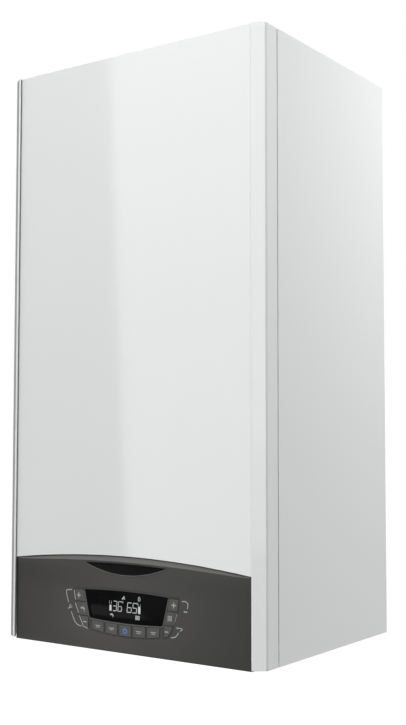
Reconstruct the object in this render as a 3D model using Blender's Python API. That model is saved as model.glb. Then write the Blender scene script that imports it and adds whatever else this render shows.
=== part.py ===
"""Wall-hung condensing combination boiler, metres, +Z up, front towards -Y.

The origin is the middle of the wall bracket's rear face, on the wall plane.
Inside this file every height is measured from the underside of the casing and every depth from
the wall; the empty called boiler_root carries that frame down to its place under the bracket.
"""
import math

import bmesh
import bpy
from mathutils import Matrix, Vector

# Overall casing
CASE_WIDTH = 0.400
CASE_HEIGHT = 0.745
CASE_DEPTH = 0.315
HANG_DROP = 0.060
SHEET = 0.0010
FRAME_SHEET = 0.0012
GAP = 0.0003
SLIP = 0.0006

# Front casing: a recessed flat plate between two proud chamfered corner profiles
CORNER_RUN = 0.0149
CORNER_DROP = 0.0099
CORNER_STEP = 0.0032
CREST_FLAT = 0.0010
SIDE_RETURN = 0.0248
SEAM = 0.0008
ARCH_CROWN = 0.1158
ARCH_RADIUS = 1.457
PAD_THICKNESS = 0.012
PAD_WIDTH = 0.300
PAD_BOTTOM = 0.300
PAD_TOP = 0.700
ARCH_STEPS = 18

# Side, top, bottom and rear sheets
SIDE_FLANGE = 0.014
TOP_FLANGE = 0.014
BOTTOM_PLATE_LIFT = 0.005
BOTTOM_PLATE_CLEARANCE = 0.005
BOTTOM_FLANGE = 0.020
GASKET_THICKNESS = 0.0032
GASKET_WIDTH = 0.0105
REAR_CHANNEL_DEPTH = 0.0050
REAR_CHANNEL_HALF = 0.028

# Wall bracket
BRACKET_WIDTH = 0.320
BRACKET_HEIGHT = 0.046
BRACKET_SHEET = 0.0020
HOOK_SPACING = 0.200
HOOK_WIDTH = 0.030
HOOK_RISE = 0.011
SCREW_SLOT_SPACING = 0.260
SCREW_SLOT_WIDTH = 0.012
SCREW_SLOT_HEIGHT = 0.008

# Control panel
HINGE_HEIGHT = 0.012
HINGE_SETBACK = 0.030
HINGE_PIN_RADIUS = 0.004
HINGE_PIN_LENGTH = 0.0068
HINGE_ARM_SHEET = 0.0020
HINGE_ARM_GAP = 0.0025
HINGE_ARM_HEIGHT = 0.027
BOX_HALF_WIDTH = 0.172
BOX_SWING_RADIUS = 0.090
BOX_WALL = 0.0025
FASCIA_GAP = 0.0007
FASCIA_THICKNESS = 0.0030
FASCIA_SETBACK = 0.0002
FASCIA_RIM_DEPTH = 0.0110
FASCIA_RIM_WALL = 0.0025
LIP_HEIGHT = 0.0068
LIP_SLOPE = 0.0028

BADGE_HALF_WIDTH = 0.0652
BADGE_TIP = 0.1052
BADGE_TOP = 0.1067
BADGE_BOTTOM = 0.0923
BADGE_THICKNESS = 0.0013

LENS_TOP = 0.0727
LENS_SHOULDER = 0.0708
LENS_HALF_TOP = 0.0644
LENS_HALF_BOTTOM = 0.0560
LENS_HEEL = 0.0370
LENS_BOTTOM = 0.0350
LENS_THICKNESS = 0.0020
LENS_PROUD = 0.0004

FRAME_THICKNESS = 0.0035
FRAME_SETBACK = 0.0004
KEY_CLEARANCE = 0.0003
KEY_THICKNESS = 0.0030
KEY_PROUD = 0.0004
KEY_TRAVEL = 0.0010
KEY_STEM_RADIUS = 0.0020
KEY_STEM_LENGTH = 0.0088
ROW_KEYS = 5
ROW_HALF_WIDTH = 0.0539
ROW_KEY_GAP = 0.0012
ROW_TOP = 0.0330
ROW_BOTTOM = 0.0188
PLUS_TOP = 0.0704
PLUS_FOOT = 0.0560
MINUS_TOP = 0.0380
MINUS_FOOT = 0.0238
TRAY_MARGIN = 0.0012
LENS_RIM = 0.0022
TRAY_SIDE = [(0.0726, 0.0823), (0.0565, 0.0805), (0.0405, 0.0752), (0.0300, 0.0703), (0.0255, 0.0665), (0.0226, 0.0605)]

BOARD_HALF_WIDTH = 0.095
BOARD_BOTTOM = 0.014
BOARD_TOP = 0.084
BOARD_THICKNESS = 0.0016
SWITCH_SIZE = 0.006
SWITCH_HEIGHT = 0.0035
SWITCH_GAP = 0.0002

# Expansion vessel
VESSEL_RADIUS = 0.150
VESSEL_CLEARANCE = 0.0201
VESSEL_STANDOFF = 0.0115
VESSEL_CENTRE_HEIGHT = 0.470
VESSEL_NIPPLE_RADIUS = 0.009
VESSEL_NIPPLE_DROP = 0.014
VESSEL_PIPE_RADIUS = 0.005

# Heat exchanger and burner
BRACKET_CLEARANCE = 0.0046
SUPPORT_SHEET = 0.0020
SUPPORT_HALF_WIDTH = 0.075
EXCHANGER_X = -0.035
EXCHANGER_HEIGHT = 0.505
EXCHANGER_RADIUS = 0.100
EXCHANGER_LENGTH = 0.143
EXCHANGER_WALL = 0.004
EXCHANGER_RIM = 0.008
DRUM_SIDES = 32
COIL_TURNS = 6
COIL_PITCH = 0.0140
COIL_RADIAL = 0.022
COIL_AXIAL = 0.008
BURNER_RADIUS = 0.032
BURNER_LENGTH = 0.098
BURNER_WALL = 0.0012
BURNER_FLANGE_RADIUS = 0.045
BURNER_FLANGE = 0.0030
DOOR_THICKNESS = 0.006
DUCT_DEPTH = 0.0275
DUCT_HEIGHT = 0.044
DUCT_WALL = 0.003
ELECTRODE_RADIUS = 0.006
ELECTRODE_OFFSET = 0.0545
ELECTRODE_HEAD = 0.016
ELECTRODE_COLLAR = 0.006
ELECTRODE_NECK = 0.020
ELECTRODE_REACH = 0.055
WATER_STUB_RADIUS = 0.011
WATER_STUB_DROP = 0.0205
WATER_STUB_OFFSET = 0.045
WATER_STUB_LENGTH = 0.035
RETURN_STUB_INSET = 0.024
FLOW_STUB_INSET = 0.032
DRAIN_STUB_RADIUS = 0.013
DRAIN_STUB_DROP = 0.020

# Flue
FLUE_INSET = 0.0431
FLUE_RADIUS = 0.031
FLUE_WALL = 0.002
FLUE_STUB_RADIUS = 0.037
FLUE_STUB_TOP = 0.640
COLLAR_RADIUS = 0.052
COLLAR_WALL = 0.003
COLLAR_FLANGE_RADIUS = 0.066
COLLAR_FLANGE = 0.004
COLLAR_HEIGHT = 0.038
TEST_PORT_RADIUS = 0.006
TEST_PORT_HEIGHT = 0.016

# Fan, mixer and silencer
FAN_X = 0.118
FAN_HEIGHT = 0.420
FAN_RADIUS = 0.066
FAN_DEPTH = 0.048
FAN_CLEARANCE = 0.0084
FAN_WALL = 0.003
FAN_INLET_RADIUS = 0.026
FAN_SHAFT_RADIUS = 0.004
FAN_OUTLET_WIDTH = 0.034
FAN_OUTLET_DEPTH = 0.036
FAN_OUTLET_TOP = 0.500
WHEEL_RADIUS = 0.052
WHEEL_DEPTH = 0.028
WHEEL_BLADES = 12
FAN_MOTOR_RADIUS = 0.038
FAN_MOTOR_LENGTH = 0.045
MIXER_RADIUS = 0.030
MIXER_BORE = 0.020
MIXER_THROAT = 0.015
MIXER_LENGTH = 0.048
MIXER_FLANGE_RADIUS = 0.040
GAS_BOSS_RADIUS = 0.009
GAS_BOSS_DROP = 0.015
SILENCER_WIDTH = 0.066
SILENCER_DEPTH = 0.0275
SILENCER_BOTTOM = 0.320
SILENCER_TOP = 0.456
SILENCER_WALL = 0.002

# Gas valve and gas pipes
VALVE_X = 0.146
VALVE_SETBACK = 0.130
VALVE_BOTTOM = 0.255
VALVE_HEIGHT = 0.075
VALVE_WIDTH = 0.068
VALVE_DEPTH = 0.070
GAS_PIPE_RADIUS = 0.007
GAS_TAIL_RADIUS = 0.009
GAS_RUN_HEIGHT = 0.238

# Hydraulics
TAIL_SETBACK = 0.070
TAIL_SPACING = 0.067
TAIL_DROP = 0.012
TAIL_RADIUS_LARGE = 0.0130
TAIL_RADIUS_SMALL = 0.0105
TAIL_BORE_LARGE = 0.0080
TAIL_BORE_SMALL = 0.0062
TAIL_NUT_RADIUS = 0.0165
TAIL_NUT_HEIGHT = 0.014
MANIFOLD_BOTTOM = 0.040
MANIFOLD_TOP = 0.105
MANIFOLD_REAR = 0.045
MANIFOLD_FRONT = 0.130
FLOW_BLOCK_LEFT = -0.165
FLOW_BLOCK_RIGHT = -0.050
RETURN_BLOCK_LEFT = 0.045
RETURN_BLOCK_RIGHT = 0.170
PLATE_STACK_LEFT = -0.088
PLATE_STACK_RIGHT = 0.070
PLATE_STACK_REAR = 0.100
PLATE_STACK_CLEARANCE = 0.009
PLATE_STACK_BOTTOM = 0.118
PLATE_PITCH = 0.006
PLATE_COUNT = 12
PUMP_X = 0.125
PUMP_HEIGHT = 0.170
PUMP_RADIUS = 0.045
PUMP_REAR = 0.085
PUMP_DEPTH = 0.040
PUMP_WALL = 0.006
PUMP_WHEEL_RADIUS = 0.032
PUMP_WHEEL_DEPTH = 0.016
PUMP_MOTOR_RADIUS = 0.042
PUMP_MOTOR_LENGTH = 0.062
PUMP_PIPE_X = 0.092
PUMP_PORT_TOP = 0.228
AIR_VENT_X = 0.158
AIR_VENT_TOP = 0.218
AIR_VENT_RADIUS = 0.010
DIVERTER_RADIUS = 0.020
DIVERTER_TOP = 0.140
DIVERTER_BORE = 0.0052
DIVERTER_BORE_FLOOR = 0.096
DIVERTER_TRAVEL = 0.005
DIVERTER_STEM_RADIUS = 0.0042
DIVERTER_STEM_TOP = 0.158
DIVERTER_MOTOR_WIDTH = 0.046
DIVERTER_MOTOR_DEPTH = 0.050
DIVERTER_MOTOR_HEIGHT = 0.052
WATER_PIPE_RADIUS = 0.009
PIPE_BEND = 0.030
PORT_RISE = 0.008
RETURN_RISE = 0.030
RETURN_LEAD = 0.020
RETURN_SWING = 0.080
RETURN_DROP = 0.040
HOSE_RADIUS = 0.0095
HOSE_DROP = 0.022
HOSE_ENTRY = 0.026
FLOW_PIPE_X = -0.093
TRAP_X = -0.060
TRAP_INSET = 0.012
TRAP_BOTTOM = 0.205
TRAP_TOP = 0.290
TRAP_RADIUS = 0.026
TRAP_OUTLET_RADIUS = 0.009
TRAP_OUTLET_BORE = 0.0065
RELIEF_X = 0.060
RELIEF_HEIGHT = 0.075
RELIEF_BOSS_RADIUS = 0.010
RELIEF_BOSS_LENGTH = 0.012
KNOB_RADIUS = 0.014
KNOB_LENGTH = 0.020
KNOB_PIN_RADIUS = 0.004
FILLING_X = 0.100
FILLING_SETBACK = 0.112
FILLING_KNOB_BOTTOM = -0.018
FILLING_KNOB_HEIGHT = 0.020

# Derived reference planes, measured from the wall (negative is forward)
HALF = CASE_WIDTH / 2
HANG_HEIGHT = CASE_HEIGHT - HANG_DROP
CREST_Y = -CASE_DEPTH
PLATE_Y = CREST_Y + CORNER_STEP
SHOULDER_Y = CREST_Y + CORNER_DROP
SEAM_Y = SHOULDER_Y + SIDE_RETURN
SIDE_FRONT_Y = SEAM_Y + SEAM
CREST_X = HALF - CORNER_RUN
FLANK_X = CREST_X - CREST_FLAT
INNER_X = HALF - SHEET
REAR_SHEET_Y = -(SHEET + GAP)
REAR_FACE_Y = REAR_SHEET_Y - FRAME_SHEET
TOP_Z = CASE_HEIGHT - SHEET
HINGE_Y = PLATE_Y + HINGE_SETBACK - CORNER_STEP
FASCIA_HALF = FLANK_X - FASCIA_GAP
FASCIA_Y = PLATE_Y + FASCIA_SETBACK
FASCIA_BACK_Y = FASCIA_Y + FASCIA_THICKNESS
VESSEL_REAR_Y = REAR_FACE_Y - VESSEL_STANDOFF
PAD_REAR_Y = PLATE_Y + SHEET + GAP + PAD_THICKNESS
FAN_REAR = -(PAD_REAR_Y + FAN_CLEARANCE + SILENCER_DEPTH + GAP + MIXER_LENGTH + GAP + FAN_DEPTH)
VESSEL_FRONT_Y = -FAN_REAR + 3 * GAP + FAN_MOTOR_LENGTH + VESSEL_CLEARANCE
VESSEL_THICKNESS = VESSEL_REAR_Y - VESSEL_FRONT_Y
BOTTOM_PLATE_DEPTH = -(HINGE_Y + BOX_SWING_RADIUS + BOTTOM_PLATE_CLEARANCE)
TRAP_SETBACK = BOTTOM_PLATE_DEPTH - TRAP_INSET
PLATE_STACK_DEPTH = TRAP_SETBACK - TRAP_OUTLET_RADIUS - PLATE_STACK_CLEARANCE - PLATE_STACK_REAR
SUPPORT_Y = VESSEL_FRONT_Y - BRACKET_CLEARANCE
EXCHANGER_REAR_Y = SUPPORT_Y - SUPPORT_SHEET - GAP
EXCHANGER_FRONT_Y = EXCHANGER_REAR_Y - EXCHANGER_LENGTH
DOOR_Y = EXCHANGER_FRONT_Y - GAP
DUCT_Y = DOOR_Y - DOOR_THICKNESS
FLUE_Y = EXCHANGER_REAR_Y - FLUE_INSET


# Modelling helpers

def start_scene():
    """Remove what the opened file holds, so that only the boiler is left."""
    for item in list(bpy.data.objects):
        bpy.data.objects.remove(item, do_unlink=True)


def finish(name, colour, roughness, metallic=0.0):
    """A plain surface material with its base colour, roughness and metallic value."""
    material = bpy.data.materials.new(name)
    material.use_nodes = True
    shader = material.node_tree.nodes["Principled BSDF"]
    shader.inputs["Base Color"].default_value = (colour[0], colour[1], colour[2], 1.0)
    shader.inputs["Roughness"].default_value = roughness
    shader.inputs["Metallic"].default_value = metallic
    material.diffuse_color = (colour[0], colour[1], colour[2], 1.0)
    return material


def empty(name, place, parent=None):
    """An empty that carries other pieces, placed in its parent's frame."""
    holder = bpy.data.objects.new(name, None)
    bpy.context.scene.collection.objects.link(holder)
    holder.parent = parent
    holder.location = place
    return holder


def shape(bm):
    """A loose object made of a finished bmesh, with its faces turned outwards."""
    bmesh.ops.recalc_face_normals(bm, faces=bm.faces)
    mesh = bpy.data.meshes.new("shape")
    bm.to_mesh(mesh)
    bm.free()
    loose = bpy.data.objects.new("shape", mesh)
    bpy.context.scene.collection.objects.link(loose)
    return loose


def box(x_pair, y_pair, z_pair):
    """A block between two limits along each axis, in either order."""
    bm = bmesh.new()
    bmesh.ops.create_cube(bm, size=1.0)
    limits = [sorted(pair) for pair in (x_pair, y_pair, z_pair)]
    size = Vector([high - low for low, high in limits])
    middle = Vector([(high + low) / 2 for low, high in limits])
    bmesh.ops.transform(bm, matrix=Matrix.Translation(middle) @ Matrix.Diagonal(size).to_4x4(), verts=bm.verts)
    return shape(bm)


def on_axis(axis, pair, height):
    """A point from its two cross coordinates and its distance along the named axis."""
    first, second = pair
    return {"x": (height, first, second), "y": (first, height, second), "z": (first, second, height)}[axis]


def prism(outline, axis, low, high):
    """An outline of cross coordinates carried straight along one axis."""
    return loft([outline, outline], axis, [low, high])


def loft(outlines, axis, heights):
    """Matching outlines joined ring by ring along an axis and closed at both ends."""
    bm = bmesh.new()
    rings = []
    for outline, height in zip(outlines, heights):
        rings.append([bm.verts.new(on_axis(axis, point, height)) for point in outline])
    bm.faces.new(rings[0])
    bm.faces.new(rings[-1])
    count = len(rings[0])
    for lower, upper in zip(rings, rings[1:]):
        for index in range(count):
            after = (index + 1) % count
            bm.faces.new((lower[index], lower[after], upper[after], upper[index]))
    return shape(bm)


def turned(profile, axis, centre, segments=24):
    """A closed profile of (radius, distance along the axis) pairs turned about that axis."""
    bm = bmesh.new()
    rings = []
    for radius, height in profile:
        if radius < 1e-7:
            rings.append([bm.verts.new(on_axis(axis, centre, height))])
            continue
        ring = []
        for step in range(segments):
            angle = math.tau * step / segments
            across = (centre[0] + radius * math.cos(angle), centre[1] + radius * math.sin(angle))
            ring.append(bm.verts.new(on_axis(axis, across, height)))
        rings.append(ring)
    for ring, other in zip(rings, rings[1:] + rings[:1]):
        if len(ring) == 1 and len(other) == 1:
            continue
        for step in range(segments):
            after = (step + 1) % segments
            corners = []
            for vertex in (ring[step % len(ring)], ring[after % len(ring)],
                           other[after % len(other)], other[step % len(other)]):
                if vertex not in corners:
                    corners.append(vertex)
            bm.faces.new(corners)
    return shape(bm)


def cylinder(axis, centre, radius, low, high, segments=16):
    """A round bar along an axis, through a point given by its two cross coordinates."""
    return turned([(0.0, low), (radius, low), (radius, high), (0.0, high)], axis, centre, segments)


def rounded_path(corners, bend, step=math.radians(18)):
    """Points along straight runs joined by arcs of one bend radius."""
    corners = [Vector(corner) for corner in corners]
    points = [corners[0]]
    for before, corner, after in zip(corners, corners[1:], corners[2:]):
        into = (corner - before).normalized()
        out = (after - corner).normalized()
        turn = into.angle(out)
        if turn < 1e-4:
            continue
        reach = min(bend * math.tan(turn / 2), 0.48 * (corner - before).length, 0.48 * (after - corner).length)
        radius = reach / math.tan(turn / 2)
        normal = (out - into * out.dot(into)).normalized()
        centre = corner - into * reach + normal * radius
        pieces = max(2, round(turn / step))
        for index in range(pieces + 1):
            angle = turn * index / pieces
            points.append(centre - normal * radius * math.cos(angle) + into * radius * math.sin(angle))
    points.append(corners[-1])
    return points


def pipe(corners, radius, bend, detail=2):
    """A round pipe bent through its corner points, with flat ends."""
    curve = bpy.data.curves.new("pipe", "CURVE")
    curve.dimensions = "3D"
    curve.bevel_depth = radius
    curve.bevel_resolution = detail
    curve.use_fill_caps = True
    points = rounded_path(corners, bend)
    spline = curve.splines.new("POLY")
    spline.points.add(len(points) - 1)
    for slot, point in zip(spline.points, points):
        slot.co = (point.x, point.y, point.z, 1.0)
    guide = bpy.data.objects.new("pipe", curve)
    bpy.context.scene.collection.objects.link(guide)
    mesh = bpy.data.meshes.new_from_object(guide.evaluated_get(bpy.context.evaluated_depsgraph_get()))
    bpy.data.objects.remove(guide)
    bm = bmesh.new()
    bm.from_mesh(mesh)
    bmesh.ops.remove_doubles(bm, verts=bm.verts, dist=0.000001)
    return shape(bm)


def combine(target, others, operation):
    """One solid from a target and others, by joining or cutting them one after another."""
    for other in others:
        step = target.modifiers.new("combine", "BOOLEAN")
        step.operation = operation
        step.solver = "EXACT"
        step.object = other
        graph = bpy.context.evaluated_depsgraph_get()
        mesh = bpy.data.meshes.new_from_object(target.evaluated_get(graph))
        target.modifiers.clear()
        bm = bmesh.new()
        bm.from_mesh(mesh)
        bmesh.ops.remove_doubles(bm, verts=bm.verts, dist=0.000001)
        bmesh.ops.triangulate(bm, faces=bm.faces)
        bm.to_mesh(mesh)
        bm.free()
        target.data = mesh
        bpy.data.objects.remove(other)
    return target


def join(target, *others):
    """Union of a target and other solids."""
    return combine(target, others, "UNION")


def cut(target, *others):
    """A target less other solids."""
    return combine(target, others, "DIFFERENCE")


def softened(target, width, sharper_than=math.radians(40), segments=1):
    """The target with its sharper edges broken by a small bevel."""
    bm = bmesh.new()
    bm.from_mesh(target.data)
    bmesh.ops.dissolve_limit(bm, angle_limit=math.radians(0.5), verts=bm.verts, edges=bm.edges)
    edges = [edge for edge in bm.edges if edge.is_manifold and edge.calc_face_angle(0.0) > sharper_than]
    bmesh.ops.bevel(bm, geom=edges, offset=width, segments=segments, profile=0.5, affect="EDGES", clamp_overlap=True)
    bm.to_mesh(target.data)
    bm.free()
    return target


def grown(outline, distance):
    """An outline whose every side is moved outwards by a distance, or inwards if negative."""
    count = len(outline)
    area = sum(outline[i][0] * outline[(i + 1) % count][1] - outline[(i + 1) % count][0] * outline[i][1]
               for i in range(count))
    turn = 1.0 if area > 0 else -1.0
    result = []
    for index in range(count):
        before, here, after = outline[index - 1], outline[index], outline[(index + 1) % count]
        normals = []
        for start, end in ((before, here), (here, after)):
            dx, dy = end[0] - start[0], end[1] - start[1]
            length = math.hypot(dx, dy)
            normals.append((turn * dy / length, -turn * dx / length))
        mx, my = normals[0][0] + normals[1][0], normals[0][1] + normals[1][1]
        scale = distance / ((mx * normals[0][0] + my * normals[0][1]))
        result.append((here[0] + mx * scale, here[1] + my * scale))
    return result


def piece(name, solid, material, parent, origin=(0.0, 0.0, 0.0)):
    """Give a finished solid its name, material, parent and origin, in the casing's frame."""
    place = Vector(origin)
    solid.name = name
    solid.data.name = name
    solid.data.transform(Matrix.Translation(-place))
    solid.data.materials.clear()
    solid.data.materials.append(material)
    for face in solid.data.polygons:
        face.material_index = 0
    solid.data.shade_smooth()
    solid.data.set_sharp_from_angle(angle=math.radians(32))
    solid.parent = parent
    solid.location = place - Vector(parent.get("place", (0.0, 0.0, 0.0)))
    return solid


def arch_height(x, crown=ARCH_CROWN):
    """Height of the arched cut-out's edge at a distance from the middle."""
    return crown - ARCH_RADIUS + math.sqrt(ARCH_RADIUS ** 2 - x ** 2)


def spread(low, high, count):
    """Evenly spaced values from low to high, both included."""
    return [low + (high - low) * index / (count - 1) for index in range(count)]


# Casing sheets

def front_casing(parent, paint):
    """Painted front: recessed plate, two proud corner profiles, side returns and a top."""
    half = [(HALF, SEAM_Y), (HALF, SHOULDER_Y), (CREST_X, CREST_Y), (FLANK_X, CREST_Y), (FLANK_X, PLATE_Y)]
    outline = half + [(-x, y) for x, y in reversed(half)]
    slope = (SHOULDER_Y - CREST_Y) / (HALF - CREST_X)
    inner_crest = CREST_Y + SHEET * math.sqrt(1 + slope ** 2)
    flank = FLANK_X + SHEET
    hollow = [(INNER_X, SEAM_Y + SHEET), (INNER_X, inner_crest + slope * (INNER_X - CREST_X)),
              (flank, inner_crest + slope * (flank - CREST_X)), (flank, PLATE_Y + SHEET)]
    hollow += [(-x, y) for x, y in reversed(hollow)]
    shell = cut(prism(outline, "z", 0.0, CASE_HEIGHT), prism(hollow, "z", -SHEET, TOP_Z))
    arch = [(x, arch_height(x)) for x in spread(FLANK_X, -FLANK_X, ARCH_STEPS + 1)]
    arch += [(-FLANK_X, -SHEET), (FLANK_X, -SHEET)]
    shell = cut(shell, prism(arch, "y", CREST_Y - SHEET, PLATE_Y + 2 * SHEET))
    return piece("front_casing", shell, paint, parent)


def front_pad(parent, felt):
    """Insulation pad glued inside the front plate."""
    rear = PLATE_Y + SHEET + GAP
    half = PAD_WIDTH / 2
    pad = box((-half, half), (rear, rear + PAD_THICKNESS), (PAD_BOTTOM, PAD_TOP))
    return piece("front_pad", softened(pad, 0.003), felt, parent)


def side_panel(name, side, parent, paint):
    """One painted side: flanged sheet with the control panel's hinge arm welded to its foot."""
    outer = side * HALF
    inner = side * INNER_X
    flange = side * (HALF - SIDE_FLANGE)
    flange_top = TOP_Z - TOP_FLANGE - GAP
    profile = [(flange, 0.0), (outer, 0.0), (outer, SIDE_FRONT_Y), (flange, SIDE_FRONT_Y),
               (flange, SIDE_FRONT_Y + SHEET), (inner, SIDE_FRONT_Y + SHEET), (inner, -SHEET), (flange, -SHEET)]
    panel = prism(profile, "z", 0.0, CASE_HEIGHT)
    corner = box((side * INNER_X / 2, inner), (SHEET, SIDE_FRONT_Y - SHEET), (flange_top, CASE_HEIGHT + SHEET))
    foot = HINGE_HEIGHT - HINGE_ARM_HEIGHT / 3
    arm_in = side * (BOX_HALF_WIDTH + HINGE_ARM_GAP)
    arm_out = side * (BOX_HALF_WIDTH + HINGE_ARM_GAP + HINGE_ARM_SHEET)
    arm_front = HINGE_Y - 2 * HINGE_PIN_RADIUS
    arm_rear = HINGE_Y + HINGE_ARM_HEIGHT
    root = side * (HALF - SHEET / 2)
    angle = [(arm_in, arm_front), (arm_out, arm_front), (arm_out, arm_rear - HINGE_ARM_SHEET),
             (root, arm_rear - HINGE_ARM_SHEET), (root, arm_rear), (arm_in, arm_rear)]
    panel = join(cut(panel, corner), prism(angle, "z", foot, foot + HINGE_ARM_HEIGHT))
    hole = cylinder("x", (HINGE_Y, HINGE_HEIGHT), HINGE_PIN_RADIUS + GAP, *sorted((arm_in - side * SHEET, arm_out + side * SHEET)))
    return piece(name, cut(panel, hole), paint, parent)


def top_panel(parent, paint):
    """Lidded top sheet with the flue opening."""
    half = INNER_X - GAP
    tray = box((-half, half), (0.0, SIDE_FRONT_Y), (TOP_Z - TOP_FLANGE, CASE_HEIGHT))
    inside = box((SHEET - half, half - SHEET), (-SHEET, SIDE_FRONT_Y + SHEET), (TOP_Z - 2 * TOP_FLANGE, TOP_Z))
    flue = cylinder("z", (0.0, FLUE_Y), COLLAR_RADIUS - COLLAR_WALL, TOP_Z - TOP_FLANGE, CASE_HEIGHT + SHEET, 32)
    return piece("top_panel", cut(cut(tray, inside), flue), paint, parent)


def rear_frame(parent, metal):
    """Galvanised back sheet with a cross channel for the bracket and two hanging slots."""
    low, high = HANG_HEIGHT - REAR_CHANNEL_HALF, HANG_HEIGHT + REAR_CHANNEL_HALF
    step = REAR_CHANNEL_DEPTH
    rear = [(REAR_SHEET_Y, SHEET), (REAR_SHEET_Y, low - step), (REAR_SHEET_Y - step, low),
            (REAR_SHEET_Y - step, high), (REAR_SHEET_Y, high + step), (REAR_SHEET_Y, TOP_Z - TOP_FLANGE - GAP)]
    outline = rear + [(y - FRAME_SHEET, z) for y, z in reversed(rear)]
    half = INNER_X - GAP
    sheet = prism(outline, "x", -half, half)
    slots = []
    seat = HANG_HEIGHT + BRACKET_HEIGHT / 8
    for side in (-1, 1):
        middle = side * HOOK_SPACING / 2
        reach = HOOK_WIDTH / 2 + BRACKET_SHEET
        slots.append(box((middle - reach, middle + reach), (0.0, REAR_FACE_Y - 2 * step),
                         (seat - HOOK_RISE - SLIP, seat + BRACKET_SHEET + GAP)))
    return piece("rear_frame", cut(sheet, *slots), metal, parent)


def wall_bracket(parent, metal):
    """Steel hanging rail with two upturned hooks and two screw slots."""
    half = BRACKET_WIDTH / 2
    low = HANG_HEIGHT - BRACKET_HEIGHT / 2
    strip = box((-half, half), (0.0, -BRACKET_SHEET), (low, low + BRACKET_HEIGHT))
    seat = HANG_HEIGHT + BRACKET_HEIGHT / 8
    tip_rear = REAR_FACE_Y - REAR_CHANNEL_DEPTH - GAP
    hooks = []
    for side in (-1, 1):
        middle = side * HOOK_SPACING / 2
        width = (middle - HOOK_WIDTH / 2, middle + HOOK_WIDTH / 2)
        hooks.append(box(width, (-BRACKET_SHEET / 2, tip_rear - BRACKET_SHEET), (seat, seat + BRACKET_SHEET)))
        hooks.append(box(width, (tip_rear, tip_rear - BRACKET_SHEET), (seat, seat + HOOK_RISE)))
    rail = join(strip, *hooks)
    slots = []
    for side in (-1, 1):
        middle = side * SCREW_SLOT_SPACING / 2
        slots.append(box((middle - SCREW_SLOT_WIDTH / 2, middle + SCREW_SLOT_WIDTH / 2), (SHEET, -2 * BRACKET_SHEET),
                         (low + SCREW_SLOT_HEIGHT, low + 2 * SCREW_SLOT_HEIGHT)))
    return piece("wall_bracket", cut(rail, *slots), metal, parent)


def bottom_plate(parent, metal):
    """Connection plate: a shallow tray with one hole for each tail, the knob and the drain."""
    half = INNER_X - GAP
    rear = REAR_FACE_Y - GAP
    front = -BOTTOM_PLATE_DEPTH
    top = BOTTOM_PLATE_LIFT + BOTTOM_FLANGE
    tray = box((-half, half), (rear, front), (BOTTOM_PLATE_LIFT, top))
    inside = box((SHEET - half, half - SHEET), (rear - SHEET, front + SHEET), (BOTTOM_PLATE_LIFT + SHEET, 2 * top))
    holes = [cylinder("z", (x, -TAIL_SETBACK), radius + SLIP, 0.0, top, 20) for x, radius in tail_places()]
    holes.append(cylinder("z", (TRAP_X, -TRAP_SETBACK), TRAP_OUTLET_RADIUS + SLIP, 0.0, top, 20))
    holes.append(cylinder("z", (FILLING_X, -FILLING_SETBACK), KNOB_PIN_RADIUS + SLIP, 0.0, top, 20))
    return piece("bottom_plate", cut(cut(tray, inside), *holes), metal, parent)


def casing_gasket(parent, foam):
    """Foam strip round three sides of the opening that the front casing closes."""
    outer = INNER_X - SLIP
    inner = outer - GASKET_WIDTH
    top = TOP_Z - SLIP
    foot = HINGE_HEIGHT + HINGE_ARM_HEIGHT
    outline = [(-outer, foot), (-outer, top), (outer, top), (outer, foot), (inner, foot),
               (inner, top - GASKET_WIDTH), (-inner, top - GASKET_WIDTH), (-inner, foot)]
    rear = SIDE_FRONT_Y - GAP
    return piece("casing_gasket", prism(outline, "y", rear - GASKET_THICKNESS, rear), foam, parent)


def tail_places():
    """Each pipe tail's distance from the middle and its thread radius, from left to right."""
    return [(-2 * TAIL_SPACING, TAIL_RADIUS_LARGE), (-TAIL_SPACING, TAIL_RADIUS_SMALL), (0.0, TAIL_RADIUS_LARGE),
            (TAIL_SPACING, TAIL_RADIUS_SMALL), (2 * TAIL_SPACING, TAIL_RADIUS_LARGE)]


# Heat generator

def expansion_vessel(parent, enamel):
    """Flat round vessel: two dished halves, a rolled rim, a rear boss and a bottom nipple."""
    middle = (VESSEL_REAR_Y + VESSEL_FRONT_Y) / 2
    flat = 0.78 * VESSEL_RADIUS
    body = VESSEL_RADIUS - 0.004
    dish = VESSEL_THICKNESS * 0.22
    seat = REAR_FACE_Y - GAP
    profile = [(0.0, seat), (0.3 * VESSEL_RADIUS, seat), (0.3 * VESSEL_RADIUS, VESSEL_REAR_Y), (flat, VESSEL_REAR_Y),
               (0.93 * VESSEL_RADIUS, VESSEL_REAR_Y - 0.4 * dish), (body, VESSEL_REAR_Y - dish), (body, middle + 0.003),
               (VESSEL_RADIUS, middle + 0.002), (VESSEL_RADIUS, middle - 0.002), (body, middle - 0.003),
               (body, VESSEL_FRONT_Y + dish), (0.93 * VESSEL_RADIUS, VESSEL_FRONT_Y + 0.4 * dish),
               (flat, VESSEL_FRONT_Y), (0.0, VESSEL_FRONT_Y)]
    vessel = turned(profile, "y", (0.0, VESSEL_CENTRE_HEIGHT), 32)
    foot = VESSEL_CENTRE_HEIGHT - VESSEL_RADIUS - VESSEL_NIPPLE_DROP
    nipple = cylinder("z", (0.0, middle), VESSEL_NIPPLE_RADIUS, foot, VESSEL_CENTRE_HEIGHT - 0.9 * VESSEL_RADIUS, 16)
    return piece("expansion_vessel", join(vessel, nipple), enamel, parent)


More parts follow.
